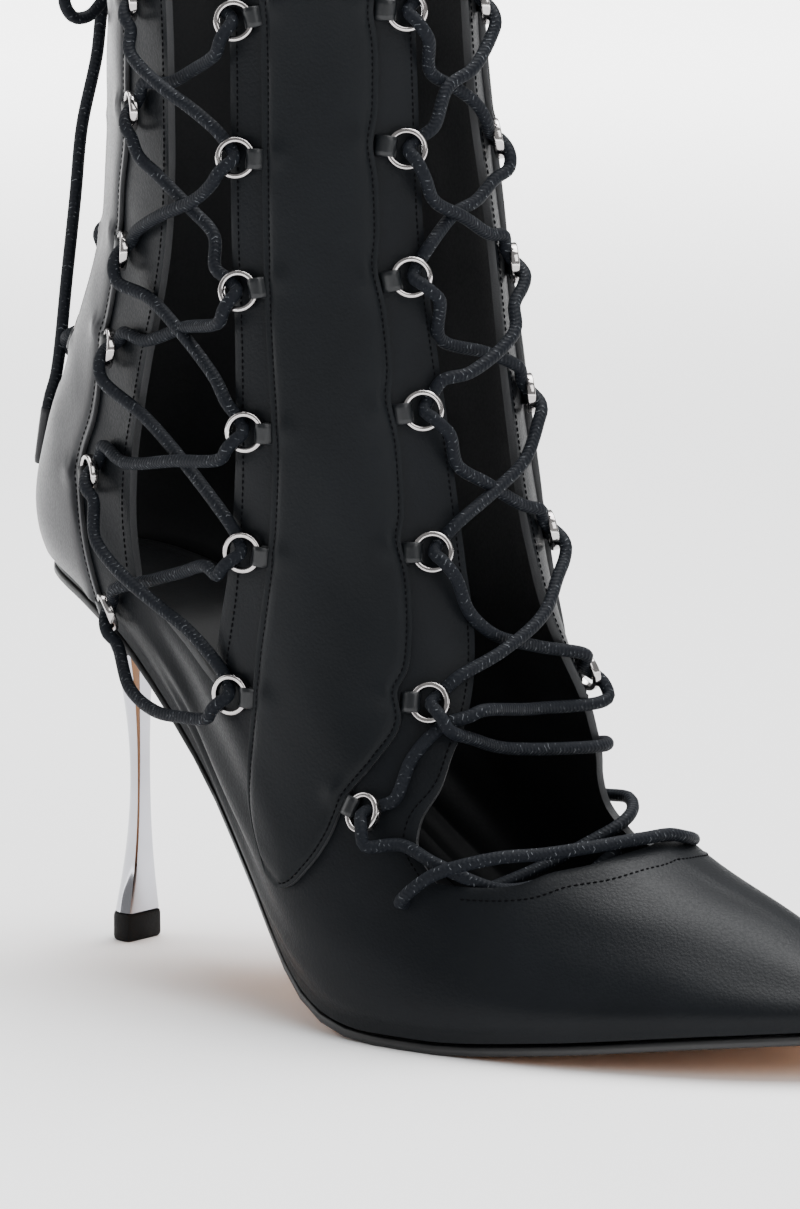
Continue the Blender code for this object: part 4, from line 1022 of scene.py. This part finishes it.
def makeTab():
    # leather loop round the ring's near side: its path in the ring's own plane, x toward the edge
    route = np.array(((7.4, -1.35), (6.3, -0.55), (5.55, 0.62), (4.75, 1.02), (3.6, 1.06), (2.72, 0.72), (2.42, 0.0),
                      (2.75, -0.78), (3.7, -1.06), (5.0, -1.15), (6.6, -1.45))) * 0.001
    half, thick = ringSet["tabWidth"] / 2, 0.00032
    spans = np.gradient(route, axis=0)
    spans /= np.linalg.norm(spans, axis=1, keepdims=True)
    side = np.stack((spans[:, 1], -spans[:, 0]), 1)
    rows = []
    across = (-1.0, -0.94, -0.5, 0.0, 0.5, 0.94, 1.0)
    for point, shift in zip(route, side):
        outer = point - shift * thick
        inner = point + shift * thick
        ring = [(outer[0], a * half, outer[1]) for a in across[1:-1]]
        ring += [(point[0], half, point[1])]
        ring += [(inner[0], a * half, inner[1]) for a in across[-2:0:-1]]
        ring += [(point[0], -half, point[1])]
        rows.append(ring)
    rows = np.array(rows)
    count = rows.shape[1]
    faces = gridFaces(len(rows), count, closed=True)
    faces += [tuple(range(count))[::-1], tuple((len(rows) - 1) * count + k for k in range(count))]
    piece = addPiece("tabMaster", rows, faces, [overlayLeather])
    piece.data.flip_normals()      # the loop is wound the other way round, so its faces are turned out
    return piece


centreLift = ringSet["seat"] + ringSet["outerRadius"] * math.sin(math.radians(ringSet["tilt"]))
metalRings = runTree(ringGuide("ringGuide", ringSet["tilt"], centreLift), ringTree(),
                     {"Outer radius": ringSet["outerRadius"], "Band": ringSet["band"],
                      "Thickness": ringSet["thickness"], "Metal": ringSteel}, "eyeletRings")
tabMaster = makeTab()
tabs = runTree(ringGuide("tabGuide", ringSet["tilt"], centreLift), tabTree(),
               {"Tab": tabMaster, "Leather": tabLeather}, "eyeletTabs")
bpy.data.objects.remove(tabMaster)
eyeletNodes = [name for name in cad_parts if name.startswith("eyelet_")]
for piece, slot in ((metalRings, "eyelet_metal"), (tabs, "overlay_leather")):
    settle(piece, slot, *eyeletNodes)
print("eyelets set:", len(eyeletNodes))

# Outsole, insole and heel
soleSet = dict(thickness=0.0030, seatGap=0.0008, insoleInset=0.0025, insoleThickness=0.0013, pad=0.0016,
               tanArea=0.6e-6, tanWidth=0.004)


def outline(shares, inset):
    near, far = surface(-shares, np.zeros(len(shares))), surface(shares, np.zeros(len(shares)))
    result = []
    for point, side in ((near, -1), (far, 1)):
        normal = outward(side * shares, np.zeros(len(shares)))
        flat = normal[:, :2] / np.linalg.norm(normal[:, :2], axis=1, keepdims=True)
        moved = point.copy()
        moved[:, :2] -= flat * inset
        result.append(moved)
    return result


def makeOutsole():
    # rings from the seat round the edge to the underside, then across it
    shares = 0.5 - 0.5 * np.cos(np.pi * np.linspace(0.0, 1, 72)) * 0.999
    shares = np.clip(shares, 0.0008, 0.9992)
    drop = soleSet["thickness"] - soleSet["seatGap"]
    profile = ((0.0012, 0.0), (0.0003, -0.0001), (0.0, -0.0005), (0.0, -drop + 0.0005), (0.0004, -drop + 0.0001),
               (0.0012, -drop))
    rows = []
    for inset, down in profile:
        near, far = outline(shares, inset)
        loop = np.vstack((near, far[::-1]))
        loop[:, 2] = soleZ(loop[:, 0] + form["originX"]) + drop + down
        rows.append(loop)
    rows = np.array(rows)
    count = rows.shape[1]
    half = len(shares)
    points = rows.reshape(-1, 3)
    faces = gridFaces(len(rows), count, closed=True)
    extra = []
    for row, upward in ((0, True), (len(rows) - 1, False)):
        base = row * count
        for k in range(half - 1):
            a, b = base + k, base + k + 1
            c, d = base + count - 2 - k, base + count - 1 - k
            extra.append((a, b, c, d) if upward else (d, c, b, a))
    piece = addPiece("soleUnit", points, faces + extra, [soleEdge, soleTan])
    shape = bmesh.new()
    shape.from_mesh(piece.data)
    bmesh.ops.recalc_face_normals(shape, faces=shape.faces)
    for face in shape.faces:      # the faces that run across below are tan
        sides = [vert.co.y for vert in face.verts]
        below = face.normal.z < -0.25 and face.calc_area() > soleSet["tanArea"]
        face.material_index = int(below and len(sides) == 4 and max(sides) - min(sides) > soleSet["tanWidth"])
    shape.to_mesh(piece.data)
    shape.free()
    piece.data.set_sharp_from_angle(angle=math.radians(50))
    return piece


outsole = makeOutsole()
settle(outsole, "outsole", "outsole")


def makeInsole():
    shares = np.linspace(0.03, 0.94, 80)
    near, far = outline(shares, soleSet["insoleInset"])
    across = np.linspace(0, 1, 21)
    rows = []
    for a, b in zip(near, far):
        line = a + (b - a) * across[:, None]
        x = line[:, 0] + form["originX"]
        edge = np.minimum(across, 1 - across) * np.linalg.norm(b - a)
        pad = soleSet["pad"] * ease(0.0, 0.004, edge) * (1 - ease(0.10, 0.17, x / form["length"]) * 0.55)
        channel = 0.0006 * np.exp(-((edge - 0.0065) / 0.0012) ** 2) * (1 - ease(0.35, 0.45, x / form["length"]))
        line[:, 2] = soleZ(x) + soleSet["thickness"] + soleSet["insoleThickness"] + pad - channel
        rows.append(line)
    piece = addPiece("sockLining", np.array(rows), gridFaces(len(rows), 21), [insoleLeather])
    faceOutward(piece, (0, 0, 1))
    wall(piece, 0.0011, 0, 0, 0.0003)
    return piece


insole = makeInsole()
settle(insole, "insole", "insole")

heelSet = dict(breastX=0.0255, liftHeight=0.0065, stemTop=0.068, gap=0.0003)


def heelRing(width, depth, breast, z, softness=0.16):
    # flat front face with softened corners and a half round back
    corner = min(width, depth) * softness
    points = []
    for side in (-1, 1):
        y = side * width / 2
        turn = [(breast, y - side * corner), (breast - corner * 0.3, y - side * corner * 0.3),
                (breast - corner, y)]
        points += turn[::-1] if side < 0 else turn
    arc = np.linspace(np.pi / 2, -np.pi / 2, 25)
    back = [(breast - depth * (0.35 + 0.65 * math.cos(t)), width / 2 * math.sin(t)) for t in arc]
    points += back
    return np.array([(x - form["originX"], y, z) for x, y in points])


def loftPiece(name, rows, finishes, smoothAngle=38):
    rows = np.array(rows)
    count = rows.shape[1]
    faces = gridFaces(len(rows), count, closed=True)
    faces += [tuple(range(count)), tuple((len(rows) - 1) * count + k for k in range(count))]
    piece = addPiece(name, rows, faces, finishes)
    shape = bmesh.new()
    shape.from_mesh(piece.data)
    bmesh.ops.remove_doubles(shape, verts=shape.verts, dist=0.00001)
    bmesh.ops.recalc_face_normals(shape, faces=shape.faces)
    shape.to_mesh(piece.data)
    shape.free()
    piece.data.set_sharp_from_angle(angle=math.radians(smoothAngle))
    return piece


stemKnots = (0, .12, .3, .52, .74, .88, 1)
stemWidths = (.0106, .0082, .0057, .0046, .0052, .0066, .0090)
stemDepths = (.0075, .0062, .0046, .0038, .0047, .0063, .0080)
stemFoot = heelSet["liftHeight"] + heelSet["gap"]
heights = np.linspace(0, 1, 49)
stemRows = [heelRing(float(curveThrough(stemKnots, stemWidths, h)), float(curveThrough(stemKnots, stemDepths, h)),
                     heelSet["breastX"], stemFoot + (heelSet["stemTop"] - stemFoot) * h) for h in heights]
stem = loftPiece("heelStem", stemRows, [heelChrome])
settle(stem, "heel_metal", "heel")

liftRows = [heelRing(w, d, heelSet["breastX"] - inset, z) for w, d, inset, z in
            ((.0108, .0070, .0004, 0.0), (.0116, .0076, .0001, .0004), (.0118, .0078, 0, .0010),
             (.0117, .0078, 0, .0056), (.0113, .0075, .0001, .0063), (.0106, .0070, .0003, .0065))]
lift = loftPiece("topLift", liftRows, [liftRubber])
settle(lift, "top_lift", "top_lift")

coverKnots = (0, .35, .7, 1)
coverFoot = heelSet["stemTop"] + heelSet["gap"]
seatBack, seatFront = float(soleZ(0.008)) - 0.0003, float(soleZ(0.031)) - 0.0003
coverRows = []
for h in np.linspace(0, 1, 25):
    row = heelRing(float(curveThrough(coverKnots, (.0096, .0130, .0190, .0250), h)),
                   float(curveThrough(coverKnots, (.0086, .0120, .0175, .0230), h)),
                   float(curveThrough(coverKnots, (.0256, .0265, .0290, .031), h)), 0.0, 0.10)
    seat = seatBack + (seatFront - seatBack) * (row[:, 0] + form["originX"] - 0.008) / 0.023
    row[:, 2] = coverFoot + (seat - coverFoot) * h
    coverRows.append(row)
cover = loftPiece("heelCover", coverRows, [coverLeather])
settle(cover, "heel_cover", "heel_cover")
print("sole and heel made")

# Floor, light and world; the floor glows more the farther it lies from the boot, painted light that whitens the far
# floor and lights the boot's silhouettes
stageSet = dict(floor=(0.93, 0.93, 0.935), world=0.40, sky=5.0, skySpread=50.0, key=34.0, fill=14.0, rim=9.0,
                floorGlow=3.5, floorGlowStart=0.7, floorGlowEnd=2.6)
floorFinish, tree, shader = startFinish("paleFloor")
shader.inputs["Base Color"].default_value = (*stageSet["floor"], 1.0)
shader.inputs["Roughness"].default_value = 0.75
place = node(tree, "ShaderNodeTexCoord").outputs["Object"]
# painted light: the floor's emission rises with the distance from the boot, so the far floor glows white
reach = node(tree, "ShaderNodeVectorMath", {0: place}, operation="LENGTH")
far = node(tree, "ShaderNodeMapRange", {"Value": reach.outputs["Value"], "From Min": stageSet["floorGlowStart"],
                                        "From Max": stageSet["floorGlowEnd"]}, interpolation_type="SMOOTHSTEP")
glow = ramp(tree, far.outputs["Result"], ((0.0, (0, 0, 0)), (1.0, (1, 1, 1))))
tree.links.new(glow, shader.inputs["Emission Color"])
shader.inputs["Emission Strength"].default_value = stageSet["floorGlow"]
floorMesh = bpy.data.meshes.new("floor")
floorMesh.from_pydata([(-12, -12, 0), (12, -12, 0), (12, 12, 0), (-12, 12, 0)], [], [(0, 1, 2, 3)])
floorMesh.materials.append(floorFinish)
floor = addObject("floor", floorMesh)

world = bpy.data.worlds.new("studio")
world.use_nodes = True
world.node_tree.nodes["Background"].inputs["Color"].default_value = (1.0, 1.0, 1.0, 1.0)
world.node_tree.nodes["Background"].inputs["Strength"].default_value = stageSet["world"]
bpy.context.scene.world = world


def areaLight(name, place, target, size, power):
    data = bpy.data.lights.new(name, "AREA")
    data.shape = "RECTANGLE"
    data.size, data.size_y = size
    data.energy = power
    light = addObject(name, data)
    light.location = place
    light.rotation_euler = (Vector(target) - Vector(place)).to_track_quat("-Z", "Y").to_euler()


areaLight("key", (-0.3, 0.5, 1.7), (0.08, 0, 0.1), (1.6, 1.2), stageSet["key"])
areaLight("fill", (1.5, -0.6, 1.2), (0.08, 0, 0.1), (0.9, 1.2), stageSet["fill"])
areaLight("side", (-1.3, -0.7, 0.7), (0.0, 0, 0.12), (0.7, 1.3), stageSet["rim"])
skyData = bpy.data.lights.new("sky", "SUN")
skyData.energy = stageSet["sky"]
skyData.angle = math.radians(stageSet["skySpread"])
sky = addObject("sky", skyData)
sky.rotation_euler = (math.radians(-14), math.radians(6), 0)
print("lights set")
